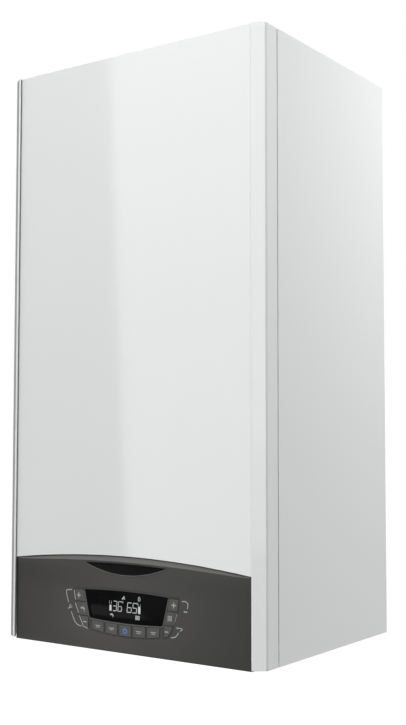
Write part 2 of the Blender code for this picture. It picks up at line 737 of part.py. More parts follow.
def exchanger_bracket(parent, metal):
    """Folded sheet from the rear frame, over the vessel, to the back of the heat exchanger."""
    rear = REAR_FACE_Y - GAP
    shelf = VESSEL_CENTRE_HEIGHT + VESSEL_RADIUS + 0.020
    front = SUPPORT_Y
    drop = EXCHANGER_HEIGHT - 0.8 * EXCHANGER_RADIUS
    width = (EXCHANGER_X - SUPPORT_HALF_WIDTH, EXCHANGER_X + SUPPORT_HALF_WIDTH)
    thick = SUPPORT_SHEET
    outline = [(rear, shelf - 0.022), (rear, shelf), (front - thick, shelf), (front - thick, drop), (front, drop),
               (front, shelf - thick), (rear - thick, shelf - thick), (rear - thick, shelf - 0.022)]
    return piece("exchanger_bracket", prism(outline, "x", *width), metal, parent)


def exchanger_shell(parent, plastic):
    """Drum that holds the coil: open front with a rim, flue stub on top, water and drain stubs below."""
    centre = (EXCHANGER_X, EXCHANGER_HEIGHT)
    front, rear = EXCHANGER_FRONT_Y, EXCHANGER_REAR_Y
    radius = EXCHANGER_RADIUS
    drum = turned([(0.0, rear), (radius - 0.005, rear), (radius, rear - 0.005), (radius, front + EXCHANGER_RIM),
                   (radius + EXCHANGER_RIM, front + EXCHANGER_RIM), (radius + EXCHANGER_RIM, front), (0.0, front)],
                  "y", centre, 32)
    stub = cylinder("z", (0.0, FLUE_Y), FLUE_STUB_RADIUS, EXCHANGER_HEIGHT + radius * 0.6, FLUE_STUB_TOP, 32)
    foot = water_stub_foot()
    left = cylinder("z", (EXCHANGER_X - WATER_STUB_OFFSET, water_y(1)), WATER_STUB_RADIUS, foot,
                    foot + WATER_STUB_LENGTH, 16)
    right = cylinder("z", (EXCHANGER_X + WATER_STUB_OFFSET, water_y(0)), WATER_STUB_RADIUS, foot,
                    foot + WATER_STUB_LENGTH, 16)
    drain = cylinder("z", (EXCHANGER_X, drain_y()), DRAIN_STUB_RADIUS, drain_foot(), drain_foot() + 0.030, 16)
    drum = join(drum, stub, left, right, drain)
    hollow = cylinder("y", centre, radius - EXCHANGER_WALL, front - EXCHANGER_RIM, rear - EXCHANGER_WALL, DRUM_SIDES)
    flue = cylinder("z", (0.0, FLUE_Y), FLUE_RADIUS - FLUE_WALL, EXCHANGER_HEIGHT + radius * 0.5,
                    FLUE_STUB_TOP + 2 * EXCHANGER_RIM, 32)
    socket = cylinder("z", (0.0, FLUE_Y), FLUE_RADIUS + GAP, FLUE_STUB_TOP - 0.020, FLUE_STUB_TOP + EXCHANGER_RIM, 32)
    bore = cylinder("z", (EXCHANGER_X, drain_y()), 0.6 * DRAIN_STUB_RADIUS, drain_foot() - EXCHANGER_RIM,
                    EXCHANGER_HEIGHT - radius * 0.8, 16)
    return piece("exchanger_shell", cut(drum, hollow, flue, socket, bore), plastic, parent)


def water_y(index):
    """Depth of the return stub (0) and of the flow stub (1) under the heat exchanger."""
    return (EXCHANGER_REAR_Y - RETURN_STUB_INSET, EXCHANGER_FRONT_Y + FLOW_STUB_INSET)[index]


def water_stub_foot():
    """Lower end of the two water stubs under the heat exchanger."""
    return EXCHANGER_HEIGHT - math.sqrt(EXCHANGER_RADIUS ** 2 - WATER_STUB_OFFSET ** 2) - WATER_STUB_DROP


def drain_y():
    """Depth of the condensate drain under the heat exchanger."""
    return (EXCHANGER_REAR_Y + EXCHANGER_FRONT_Y) / 2


def drain_foot():
    """Lower end of the condensate drain stub."""
    return EXCHANGER_HEIGHT - EXCHANGER_RADIUS - DRAIN_STUB_DROP


def exchanger_coil(parent, metal):
    """Flattened stainless tube wound in one helix round the burner."""
    sides, steps = 6, 16
    radius = (EXCHANGER_RADIUS - EXCHANGER_WALL) * math.cos(math.pi / DRUM_SIDES) - GAP
    radius -= 0.5 * COIL_RADIAL * math.cos(math.pi / sides)
    bm = bmesh.new()
    rings = []
    front = EXCHANGER_FRONT_Y + 0.5 * (EXCHANGER_LENGTH - EXCHANGER_WALL - COIL_TURNS * COIL_PITCH)
    for index in range(COIL_TURNS * steps + 1):
        angle = math.tau * index / steps
        along = front + COIL_PITCH * index / steps
        ring = []
        for corner in range(sides):
            turn = math.tau * (corner + 0.5) / sides
            reach = radius + 0.5 * COIL_RADIAL * math.cos(turn)
            point = (EXCHANGER_X + reach * math.cos(angle), along + 0.5 * COIL_AXIAL * math.sin(turn),
                     EXCHANGER_HEIGHT + reach * math.sin(angle))
            ring.append(bm.verts.new(point))
        rings.append(ring)
    for ring, other in zip(rings, rings[1:]):
        for corner in range(sides):
            after = (corner + 1) % sides
            bm.faces.new((ring[corner], ring[after], other[after], other[corner]))
    bm.faces.new(rings[0])
    bm.faces.new(rings[-1])
    return piece("exchanger_coil", shape(bm), metal, parent)


def burner_door(parent, metal):
    """Cast door with the mixture duct that comes over from the fan's outlet."""
    centre = (EXCHANGER_X, EXCHANGER_HEIGHT)
    outer = EXCHANGER_RADIUS + EXCHANGER_RIM
    plate = turned([(0.0, DOOR_Y), (outer, DOOR_Y), (outer, DUCT_Y), (0.0, DUCT_Y)], "y", centre, 32)
    front = DUCT_Y - DUCT_DEPTH
    boss = turned([(0.0, DUCT_Y + SHEET), (BURNER_FLANGE_RADIUS, DUCT_Y + SHEET), (BURNER_FLANGE_RADIUS, front + 0.004),
                   (BURNER_FLANGE_RADIUS - 0.004, front), (0.0, front)], "y", centre, 32)
    left = EXCHANGER_X - 0.6 * BURNER_FLANGE_RADIUS
    x_low, x_high, y_rear, y_front = outlet_limits()
    floor = FAN_OUTLET_TOP + GAP
    roof = floor + DUCT_HEIGHT * 0.75
    low = EXCHANGER_HEIGHT - DUCT_HEIGHT / 2
    stepped = [(left, low), (x_low, low), (x_low, floor), (x_high, floor), (x_high, roof), (left, roof)]
    across = prism(stepped, "y", DUCT_Y + SHEET, front)
    along = box((x_low, x_high), (y_rear, front + 2 * SHEET), (floor, roof - SHEET))
    door = join(plate, boss, across, along)
    wall = DUCT_WALL
    channel = prism(grown(stepped, -wall), "y", DUCT_Y - wall, front + wall)
    run = box((x_low + wall, x_high - wall - SHEET), (y_rear - wall, front + 2 * wall), (floor + wall, roof - wall - SHEET))
    riser = box((x_low + 2 * wall, x_high - 2 * wall), (y_rear - 2 * wall, y_front + 2 * wall), (floor - wall, roof - 2 * wall))
    mouth = cylinder("y", centre, BURNER_RADIUS, DUCT_Y - DUCT_DEPTH / 2, DOOR_Y + SHEET, 32)
    port = cylinder("y", (EXCHANGER_X, EXCHANGER_HEIGHT + ELECTRODE_OFFSET), ELECTRODE_RADIUS + GAP,
                    DUCT_Y - SHEET, DOOR_Y + SHEET, 16)
    return piece("burner_door", cut(door, channel, run, riser, mouth, port), metal, parent)


def outlet_limits():
    """Outer limits of the fan's outlet: left, right, rear and front."""
    x_high = FAN_X + FAN_RADIUS - SHEET
    y_rear = -(FAN_REAR + (FAN_DEPTH - FAN_OUTLET_DEPTH) / 2)
    return x_high - FAN_OUTLET_WIDTH, x_high, y_rear, y_rear - FAN_OUTLET_DEPTH


def burner(parent, metal):
    """Cylindrical premix burner: a thin cup with a flange behind the door."""
    centre = (EXCHANGER_X, EXCHANGER_HEIGHT)
    mouth = EXCHANGER_FRONT_Y
    tip = mouth + BURNER_LENGTH
    inner = BURNER_RADIUS - BURNER_WALL
    profile = [(inner, mouth), (BURNER_FLANGE_RADIUS, mouth), (BURNER_FLANGE_RADIUS, mouth + BURNER_FLANGE),
               (BURNER_RADIUS, mouth + BURNER_FLANGE), (BURNER_RADIUS, tip), (0.0, tip), (0.0, tip - BURNER_WALL),
               (inner, tip - BURNER_WALL)]
    return piece("burner", turned(profile, "y", centre, 32), metal, parent)


def ignition_electrode(parent, ceramic):
    """Ceramic plug through the door with its metal tip beside the burner."""
    centre = (EXCHANGER_X, EXCHANGER_HEIGHT + ELECTRODE_OFFSET)
    head = DUCT_Y - GAP
    radius = ELECTRODE_RADIUS
    tip = DOOR_Y + ELECTRODE_REACH
    cap, collar, neck = head - ELECTRODE_HEAD, head - ELECTRODE_COLLAR, DOOR_Y + ELECTRODE_NECK
    profile = [(0.0, cap), (0.5 * radius, cap), (0.5 * radius, collar), (1.5 * radius, collar + 0.3 * radius),
               (1.5 * radius, head), (radius, head), (radius, neck), (0.25 * radius, neck + 0.2 * radius),
               (0.25 * radius, tip), (0.0, tip)]
    return piece("ignition_electrode", turned(profile, "y", centre, 16), ceramic, parent)


def flue_spigot(parent, plastic):
    """Inner flue pipe from the drum's socket up through the top, with a wider socket mouth."""
    foot = FLUE_STUB_TOP - 0.020 + GAP
    top = CASE_HEIGHT + COLLAR_HEIGHT - 0.002
    inner, outer = FLUE_RADIUS - FLUE_WALL, FLUE_RADIUS
    swell = FLUE_WALL + 0.0015
    profile = [(inner, foot), (outer, foot), (outer, top - 0.034), (outer + swell, top - 0.030), (outer + swell, top),
               (inner + swell, top), (inner + swell, top - 0.029), (inner, top - 0.033)]
    return piece("flue_spigot", turned(profile, "z", (0.0, FLUE_Y), 32), plastic, parent)


def flue_collar(parent, plastic):
    """Outer air collar on the top sheet, with two capped test ports on its flange."""
    seat = CASE_HEIGHT + GAP
    top = CASE_HEIGHT + COLLAR_HEIGHT
    inner = COLLAR_RADIUS - COLLAR_WALL
    profile = [(inner, seat), (COLLAR_FLANGE_RADIUS, seat), (COLLAR_FLANGE_RADIUS, seat + COLLAR_FLANGE),
               (COLLAR_RADIUS, seat + COLLAR_FLANGE + 0.002), (COLLAR_RADIUS, top), (inner, top)]
    collar = turned(profile, "z", (0.0, FLUE_Y), 32)
    ports = []
    for side in (-1, 1):
        middle = (COLLAR_RADIUS + COLLAR_FLANGE_RADIUS) / 2 * 0.995
        place = (side * middle * math.cos(math.radians(35)), FLUE_Y - middle * math.sin(math.radians(35)))
        ports.append(cylinder("z", place, TEST_PORT_RADIUS, seat + COLLAR_FLANGE / 2, seat + TEST_PORT_HEIGHT, 12))
    return piece("flue_collar", join(collar, *ports), plastic, parent)


# Fan, mixer, gas

def fan_housing(parent, metal):
    """Volute with an inlet in front, a shaft hole behind and a square outlet upwards."""
    centre = (FAN_X, FAN_HEIGHT)
    rear = -FAN_REAR
    front = rear - FAN_DEPTH
    drum = turned([(0.0, rear), (FAN_RADIUS, rear), (FAN_RADIUS, front + 0.004), (FAN_RADIUS - 0.004, front),
                   (0.0, front)], "y", centre, 32)
    x_low, x_high, y_rear, y_front = outlet_limits()
    outlet = box((x_low, x_high), (y_rear, y_front), (FAN_HEIGHT, FAN_OUTLET_TOP))
    housing = join(drum, outlet)
    wall = FAN_WALL
    hollow = cylinder("y", centre, FAN_RADIUS - wall, front + wall, rear - wall, 32)
    way = box((x_low + wall, x_high - wall), (y_rear - wall, y_front + wall), (FAN_HEIGHT, FAN_OUTLET_TOP + wall))
    inlet = cylinder("y", centre, FAN_INLET_RADIUS, front - wall, front + 2 * wall, 24)
    shaft = cylinder("y", centre, FAN_SHAFT_RADIUS + SLIP, rear - 2 * wall, rear + wall, 16)
    return piece("fan_housing", cut(housing, hollow, way, inlet, shaft), metal, parent)


def fan_wheel(parent, plastic):
    """Backward-curved fan wheel with its hub and shaft."""
    centre = (FAN_X, FAN_HEIGHT)
    rear = -FAN_REAR - (FAN_DEPTH - WHEEL_DEPTH) / 2
    front = rear - WHEEL_DEPTH
    disc = 0.0022
    shaft_end = -FAN_REAR + 2 * GAP
    profile = [(0.0, front + 0.010), (0.010, front + 0.010), (0.014, rear - disc), (WHEEL_RADIUS, rear - disc),
               (WHEEL_RADIUS, rear), (FAN_SHAFT_RADIUS, rear), (FAN_SHAFT_RADIUS, shaft_end), (0.0, shaft_end)]
    wheel = turned(profile, "y", centre, 32)
    blades = []
    for index in range(WHEEL_BLADES):
        start = math.tau * index / WHEEL_BLADES
        inner, outer = 0.55 * WHEEL_RADIUS, 0.97 * WHEEL_RADIUS
        outline = []
        for radius, lag in ((inner, 0.0), ((inner + outer) / 2, 0.16), (outer, 0.38)):
            outline.append((centre[0] + radius * math.cos(start + lag), centre[1] + radius * math.sin(start + lag)))
        for radius, lag in ((outer, 0.42), ((inner + outer) / 2, 0.21), (inner, 0.06)):
            outline.append((centre[0] + radius * math.cos(start + lag), centre[1] + radius * math.sin(start + lag)))
        blades.append(prism(outline, "y", front, rear - disc / 2))
    wheel = join(wheel, *blades)
    return piece("fan_wheel", wheel, plastic, parent, (FAN_X, (front + rear) / 2, FAN_HEIGHT))


def fan_motor(parent, metal):
    """Motor behind the volute, with its connector."""
    centre = (FAN_X, FAN_HEIGHT)
    front = -FAN_REAR + 3 * GAP
    rear = front + FAN_MOTOR_LENGTH
    body = turned([(0.0, front), (FAN_MOTOR_RADIUS, front), (FAN_MOTOR_RADIUS, rear - 0.005),
                   (FAN_MOTOR_RADIUS - 0.005, rear), (0.0, rear)], "y", centre, 32)
    plug = box((FAN_X - 0.011, FAN_X + 0.011), (front + 0.012, rear - 0.012),
               (FAN_HEIGHT - FAN_MOTOR_RADIUS - 0.010, FAN_HEIGHT - 0.8 * FAN_MOTOR_RADIUS))
    return piece("fan_motor", join(body, plug), metal, parent)


def mixer_front():
    """Depth of the gas mixer's front face."""
    return -FAN_REAR - FAN_DEPTH - GAP - MIXER_LENGTH


def venturi_mixer(parent, metal):
    """Turned gas and air mixer on the fan's inlet, with a gas boss below."""
    centre = (FAN_X, FAN_HEIGHT)
    rear = -FAN_REAR - FAN_DEPTH - GAP
    front = mixer_front()
    profile = [(MIXER_BORE, rear), (MIXER_FLANGE_RADIUS, rear), (MIXER_FLANGE_RADIUS, rear - 0.004),
               (MIXER_RADIUS, rear - 0.006), (MIXER_RADIUS, front), (MIXER_BORE + 0.004, front),
               (MIXER_THROAT, front + 0.020), (MIXER_THROAT, front + 0.026)]
    body = turned(profile, "y", centre, 32)
    low = FAN_HEIGHT - MIXER_RADIUS - GAS_BOSS_DROP
    boss = cylinder("z", (FAN_X, gas_boss_y()), GAS_BOSS_RADIUS, low, FAN_HEIGHT - 0.85 * MIXER_RADIUS, 16)
    return piece("venturi_mixer", join(body, boss), metal, parent)


def gas_boss_y():
    """Depth of the mixer's gas boss, half way along its body."""
    return mixer_front() + 0.45 * MIXER_LENGTH


def air_silencer(parent, plastic):
    """Flat intake silencer hung on the mixer, open at its foot."""
    rear = mixer_front() - GAP
    front = rear - SILENCER_DEPTH
    half = SILENCER_WIDTH / 2
    shell = softened(box((FAN_X - half, FAN_X + half), (rear, front), (SILENCER_BOTTOM, SILENCER_TOP)), SILENCER_WALL)
    wall = SILENCER_WALL
    hollow = box((FAN_X - half + wall, FAN_X + half - wall), (rear - wall, front + wall),
                 (SILENCER_BOTTOM - wall, SILENCER_TOP - wall))
    throat = cylinder("y", (FAN_X, FAN_HEIGHT), MIXER_BORE + 0.003, rear - 2 * wall, rear + wall, 24)
    return piece("air_silencer", cut(shell, hollow, throat), plastic, parent)


def gas_valve(parent, metal):
    """Gas control block with its coil and its pressure taps."""
    half = VALVE_WIDTH / 2
    rear, front = -VALVE_SETBACK + VALVE_DEPTH / 2, -VALVE_SETBACK - VALVE_DEPTH / 2
    top = VALVE_BOTTOM + VALVE_HEIGHT
    block = softened(box((VALVE_X - half, VALVE_X + half), (rear, front), (VALVE_BOTTOM, top)), 0.004)
    coil = cylinder("y", (VALVE_X, (VALVE_BOTTOM + top) / 2), 0.3 * VALVE_WIDTH, front - 0.022, front + 0.004, 24)
    tap = cylinder("y", (VALVE_X + 0.32 * VALVE_WIDTH, VALVE_BOTTOM + 0.012), 0.004, front - 0.009, front + 0.004, 12)
    return piece("gas_valve", join(block, coil, tap), metal, parent)


def gas_pipe(parent, copper):
    """Gas pipe from the valve's top to the mixer's boss."""
    start = VALVE_BOTTOM + VALVE_HEIGHT + GAP
    end = FAN_HEIGHT - MIXER_RADIUS - GAS_BOSS_DROP - GAP
    run = start + 2 * GAS_PIPE_RADIUS
    corners = [(VALVE_X - 0.012, -VALVE_SETBACK, start), (VALVE_X - 0.012, -VALVE_SETBACK, run),
               (FAN_X, gas_boss_y(), run), (FAN_X, gas_boss_y(), end)]
    return piece("gas_pipe", pipe(corners, GAS_PIPE_RADIUS, 0.014), copper, parent)


def tail_solid(x, radius, bore, top):
    """Threaded brass tail under the plate with its bore and its union nut."""
    place = (x, -TAIL_SETBACK)
    neck = bore + 0.0022
    nut = TAIL_NUT_RADIUS if radius > TAIL_RADIUS_SMALL else TAIL_NUT_RADIUS - 0.003
    nut_foot = top - TAIL_NUT_HEIGHT
    profile = [(bore, -TAIL_DROP), (radius - 0.0012, -TAIL_DROP), (radius, -TAIL_DROP + 0.0012),
               (radius, -TAIL_DROP + 0.018), (neck, -TAIL_DROP + 0.020), (neck, nut_foot - 0.001),
               (nut * 0.86, nut_foot), (nut * 0.86, top), (bore, top)]
    body = turned(profile, "z", place, 16)
    hexagon = [(x + nut * math.cos(math.tau * k / 6), -TAIL_SETBACK + nut * math.sin(math.tau * k / 6)) for k in range(6)]
    ring = cut(prism(hexagon, "z", nut_foot + 0.001, top - 0.001), cylinder("z", place, nut * 0.6, 0.0, top, 12))
    return join(body, ring)


def water_tail(name, x, radius, bore, parent, brass):
    """One water connection below a manifold."""
    return piece(name, tail_solid(x, radius, bore, MANIFOLD_BOTTOM - GAP), brass, parent)


def gas_tail(parent, brass):
    """Gas connection: threaded end, nut and the pipe up to the valve."""
    end = tail_solid(0.0, TAIL_RADIUS_LARGE, TAIL_BORE_LARGE, MANIFOLD_BOTTOM)
    corners = [(0.0, -TAIL_SETBACK, MANIFOLD_BOTTOM - 0.004), (0.0, -TAIL_SETBACK, GAS_RUN_HEIGHT),
               (VALVE_X, -TAIL_SETBACK, GAS_RUN_HEIGHT), (VALVE_X, -VALVE_SETBACK, GAS_RUN_HEIGHT),
               (VALVE_X, -VALVE_SETBACK, VALVE_BOTTOM - GAP)]
    run = pipe(corners, GAS_TAIL_RADIUS, 0.014)
    return piece("gas_tail", join(end, run), brass, parent)


# Hydraulics

def plate_exchanger(parent, metal):
    """Brazed plate stack that heats the tap water, seen as a ribbed block."""
    rear = -PLATE_STACK_REAR
    front = rear - PLATE_STACK_DEPTH
    proud, waist = 0.0, 0.0012
    rear_side, front_side = [], []
    for index in range(PLATE_COUNT):
        low = PLATE_STACK_BOTTOM + PLATE_PITCH * index
        for inset, z in ((proud, low), (proud, low + 0.55 * PLATE_PITCH), (waist, low + 0.6 * PLATE_PITCH),
                         (waist, low + 0.95 * PLATE_PITCH)):
            rear_side.append((rear - inset, z))
            front_side.append((front + inset, z))
    outline = rear_side + front_side[::-1]
    stack = prism(outline, "x", PLATE_STACK_LEFT, PLATE_STACK_RIGHT)
    return piece("plate_exchanger", stack, metal, parent)


def flow_manifold(parent, plastic):
    """Left hydraulic block: flow and hot water ways, diverter tower, ports and a foot."""
    block = softened(box((FLOW_BLOCK_LEFT, FLOW_BLOCK_RIGHT), (-MANIFOLD_REAR, -MANIFOLD_FRONT),
                         (MANIFOLD_BOTTOM, MANIFOLD_TOP)), 0.006, segments=2)
    tower = cylinder("z", diverter_place(), DIVERTER_RADIUS, MANIFOLD_TOP - 0.02, DIVERTER_TOP, 24)
    port = cylinder("z", (FLOW_PIPE_X, -MANIFOLD_REAR - 0.020), 0.012, MANIFOLD_TOP - 0.01, MANIFOLD_TOP + 0.008, 20)
    stack = cylinder("z", (PLATE_STACK_LEFT + 0.014, -PLATE_STACK_REAR - 0.016), 0.010,
                     MANIFOLD_TOP - 0.01, PLATE_STACK_BOTTOM - GAP, 16)
    foot = cylinder("z", (FLOW_BLOCK_LEFT + 0.055, -MANIFOLD_FRONT + 0.014), 0.008,
                    BOTTOM_PLATE_LIFT + SHEET + GAP, MANIFOLD_BOTTOM + 0.01, 16)
    block = join(block, tower, port, stack, foot)
    bore = cylinder("z", diverter_place(), DIVERTER_BORE, DIVERTER_BORE_FLOOR, DIVERTER_TOP + 0.01, 16)
    return piece("flow_manifold", cut(block, bore), plastic, parent)


def diverter_place():
    """Middle of the diverter valve, above the heating flow tail."""
    return (-2 * TAIL_SPACING, -TAIL_SETBACK - 0.005)


def diverter_stem(parent, metal):
    """Stem of the diverter valve, which the motor pushes down."""
    x, y = diverter_place()
    foot = DIVERTER_BORE_FLOOR + DIVERTER_TRAVEL + 2 * GAP
    stem = cylinder("z", (x, y), DIVERTER_STEM_RADIUS, foot, DIVERTER_STEM_TOP, 16)
    return piece("diverter_stem", stem, metal, parent, (x, y, (foot + DIVERTER_STEM_TOP) / 2))


def diverter_motor(parent, plastic):
    """Motor head on the diverter tower, hollow round the stem."""
    x, y = diverter_place()
    foot = DIVERTER_TOP + GAP
    half = DIVERTER_MOTOR_WIDTH / 2
    deep = DIVERTER_MOTOR_DEPTH / 2
    head = softened(box((x - half, x + half), (y - deep, y + deep), (foot, foot + DIVERTER_MOTOR_HEIGHT)), 0.005)
    socket = cylinder("z", (x, y), DIVERTER_BORE, foot - 0.01, DIVERTER_STEM_TOP + 0.006, 16)
    return piece("diverter_motor", cut(head, socket), plastic, parent)


def return_manifold(parent, plastic):
    """Right hydraulic block: return and cold water ways, relief and filling seats, ports and a foot."""
    block = softened(box((RETURN_BLOCK_LEFT, RETURN_BLOCK_RIGHT), (-MANIFOLD_REAR, -MANIFOLD_FRONT),
                         (MANIFOLD_BOTTOM, MANIFOLD_TOP)), 0.006, segments=2)
    stack = cylinder("z", (PLATE_STACK_RIGHT - 0.012, -PLATE_STACK_REAR - 0.016), 0.010,
                     MANIFOLD_TOP - 0.01, PLATE_STACK_BOTTOM - GAP, 16)
    pump = cylinder("z", (PUMP_X, pump_y()), 0.015, MANIFOLD_TOP - 0.01, pump_foot() - GAP, 20)
    vessel = cylinder("z", (RELIEF_X, -MANIFOLD_REAR - 0.012), 0.0075, MANIFOLD_TOP - 0.01, MANIFOLD_TOP + 0.008, 16)
    relief = cylinder("y", (RELIEF_X, RELIEF_HEIGHT), RELIEF_BOSS_RADIUS, relief_face(), -MANIFOLD_FRONT + 0.006, 20)
    foot = cylinder("z", (RETURN_BLOCK_RIGHT - 0.018, -MANIFOLD_FRONT + 0.014), 0.008,
                    BOTTOM_PLATE_LIFT + SHEET + GAP, MANIFOLD_BOTTOM + 0.01, 16)
    block = join(block, stack, pump, vessel, relief, foot)
    pin = cylinder("y", (RELIEF_X, RELIEF_HEIGHT), KNOB_PIN_RADIUS + GAP, relief_face() - SHEET, relief_face() + 0.011, 16)
    stem = cylinder("z", (FILLING_X, -FILLING_SETBACK), KNOB_PIN_RADIUS + GAP, 0.0, MANIFOLD_BOTTOM + 0.011, 16)
    return piece("return_manifold", cut(block, pin, stem), plastic, parent)


def relief_face():
    """Depth of the relief valve's front face."""
    return -MANIFOLD_FRONT - RELIEF_BOSS_LENGTH


def relief_knob(parent, plastic):
    """Grooved knob of the relief valve, turned about its stem."""
    face = relief_face() - GAP
    front = face - KNOB_LENGTH
    outline = []
    for index in range(36):
        radius = KNOB_RADIUS - (0.0014 if index % 3 == 0 else 0.0)
        angle = math.tau * index / 36
        outline.append((RELIEF_X + radius * math.cos(angle), RELIEF_HEIGHT + radius * math.sin(angle)))
    grip = prism(outline, "y", front, face)
    pin = cylinder("y", (RELIEF_X, RELIEF_HEIGHT), KNOB_PIN_RADIUS, face - 0.002, face + 0.010, 16)
    return piece("relief_knob", join(grip, pin), plastic, parent, (RELIEF_X, (face + front) / 2, RELIEF_HEIGHT))


def filling_knob(parent, plastic):
    """Knob of the filling tap below the plate, with its stem up into the manifold."""
    low = FILLING_KNOB_BOTTOM
    high = low + FILLING_KNOB_HEIGHT
    outline = []
    for index in range(32):
        angle = math.tau * index / 32
        radius = KNOB_RADIUS * (1.0 + 0.12 * math.cos(4 * angle)) / 1.12
        outline.append((FILLING_X + radius * math.cos(angle), -FILLING_SETBACK + radius * math.sin(angle)))
    grip = prism(outline, "z", low, high)
    stem = cylinder("z", (FILLING_X, -FILLING_SETBACK), KNOB_PIN_RADIUS, high - 0.004, MANIFOLD_BOTTOM + 0.010, 16)
    return piece("filling_knob", join(grip, stem), plastic, parent, (FILLING_X, -FILLING_SETBACK, (low + high) / 2))


def pump_y():
    """Depth of the pump's middle plane."""
    return -PUMP_REAR - PUMP_DEPTH / 2


def pump_foot():
    """Underside of the pump's suction port."""
    return PUMP_HEIGHT - PUMP_RADIUS


def pump_body(parent, plastic):
    """Pump volute, open to its motor, with suction, delivery and an automatic air vent."""
    centre = (PUMP_X, PUMP_HEIGHT)
    rear = -PUMP_REAR
    front = rear - PUMP_DEPTH
    drum = turned([(0.0, rear), (PUMP_RADIUS - 0.004, rear), (PUMP_RADIUS, rear - 0.004), (PUMP_RADIUS, front), (0.0, front)],
                  "y", centre, 32)
    suction = cylinder("z", (PUMP_X, pump_y()), 0.015, pump_foot(), PUMP_HEIGHT - 0.02, 20)
    delivery = cylinder("z", (PUMP_PIPE_X, pump_y()), 0.012, PUMP_HEIGHT, PUMP_PORT_TOP, 20)
    vent = cylinder("z", (AIR_VENT_X, pump_y()), AIR_VENT_RADIUS, PUMP_HEIGHT + 0.02, AIR_VENT_TOP, 20)
    body = join(drum, suction, delivery, vent)
    hollow = cylinder("y", centre, PUMP_RADIUS - PUMP_WALL, front - PUMP_WALL, rear - PUMP_WALL, 32)
    return piece("pump_body", cut(body, hollow), plastic, parent)


def pump_wheel(parent, plastic):
    """Closed pump wheel with its shaft towards the motor."""
    centre = (PUMP_X, PUMP_HEIGHT)
    rear = -PUMP_REAR - PUMP_WALL - 0.004
    front = rear - PUMP_WHEEL_DEPTH
    shaft = -PUMP_REAR - PUMP_DEPTH + 2 * GAP
    profile = [(0.0, shaft), (0.005, shaft), (0.005, front), (PUMP_WHEEL_RADIUS, front), (PUMP_WHEEL_RADIUS, front + 0.002),
               (PUMP_WHEEL_RADIUS - 0.006, front + 0.004), (PUMP_WHEEL_RADIUS - 0.006, rear - 0.004),
               (PUMP_WHEEL_RADIUS, rear - 0.002), (PUMP_WHEEL_RADIUS, rear), (0.0, rear)]
    return piece("pump_wheel", turned(profile, "y", centre, 32), plastic, parent, (PUMP_X, (front + rear) / 2, PUMP_HEIGHT))


def pump_motor(parent, metal):
    """Canned motor in front of the pump, with its terminal box."""
    centre = (PUMP_X, PUMP_HEIGHT)
    rear = -PUMP_REAR - PUMP_DEPTH - GAP
    front = rear - PUMP_MOTOR_LENGTH
    body = turned([(0.0, rear), (PUMP_MOTOR_RADIUS, rear), (PUMP_MOTOR_RADIUS, front + 0.006),
                   (PUMP_MOTOR_RADIUS - 0.006, front), (0.0, front)], "y", centre, 32)
    terminal = box((PUMP_X - 0.5 * PUMP_MOTOR_RADIUS, PUMP_X + 0.6 * PUMP_MOTOR_RADIUS), (rear - 0.012, front + 0.012),
                   (PUMP_HEIGHT + 0.7 * PUMP_MOTOR_RADIUS, PUMP_HEIGHT + PUMP_MOTOR_RADIUS + 0.006))
    return piece("pump_motor", join(body, terminal), metal, parent)


def flow_pipe(parent, copper):
    """Heating flow pipe from the heat exchanger down to the left block."""
    top = water_stub_foot() - GAP
    low = MANIFOLD_TOP + 0.008 + GAP
    x_top, y_top, y_low = EXCHANGER_X - WATER_STUB_OFFSET, water_y(1), -MANIFOLD_REAR - 0.020
    corners = [(FLOW_PIPE_X, y_low, low), (FLOW_PIPE_X, y_low, low + 0.110), (FLOW_PIPE_X - 0.020, y_low - 0.045, low + 0.165),
               (FLOW_PIPE_X - 0.010, y_top + 0.020, top - 0.060), (x_top, y_top, top - 0.030), (x_top, y_top, top)]
    return piece("flow_pipe", pipe(corners, WATER_PIPE_RADIUS, PIPE_BEND), copper, parent)


def return_pipe(parent, copper):
    """Heating return pipe from the pump's delivery up to the heat exchanger."""
    top = water_stub_foot() - GAP
    low = PUMP_PORT_TOP + GAP
    x_top, y_top = EXCHANGER_X + WATER_STUB_OFFSET, water_y(0)
    corners = [(PUMP_PIPE_X, pump_y(), low), (PUMP_PIPE_X, pump_y(), low + RETURN_RISE),
               (x_top + RETURN_LEAD, y_top - 0.3 * RETURN_LEAD, low + RETURN_SWING),
               (x_top, y_top, top - RETURN_DROP), (x_top, y_top, top)]
    return piece("return_pipe", pipe(corners, WATER_PIPE_RADIUS, PIPE_BEND), copper, parent)


def vessel_pipe(parent, steel):
    """Thin pipe from the vessel's nipple to the right block."""
    y_top = (VESSEL_REAR_Y + VESSEL_FRONT_Y) / 2
    top = VESSEL_CENTRE_HEIGHT - VESSEL_RADIUS - VESSEL_NIPPLE_DROP - GAP
    low = MANIFOLD_TOP + 0.008 + GAP
    y_low = -MANIFOLD_REAR - 0.012
    y_back = -0.030
    corners = [(0.0, y_top, top), (0.0, y_top, top - 0.020), (0.030, y_back, top - 0.050), (RELIEF_X, y_back, top - 0.090),
               (RELIEF_X, y_back, low + 0.060), (RELIEF_X, y_low, low + 0.025), (RELIEF_X, y_low, low)]
    return piece("vessel_pipe", pipe(corners, VESSEL_PIPE_RADIUS, 0.020), steel, parent)


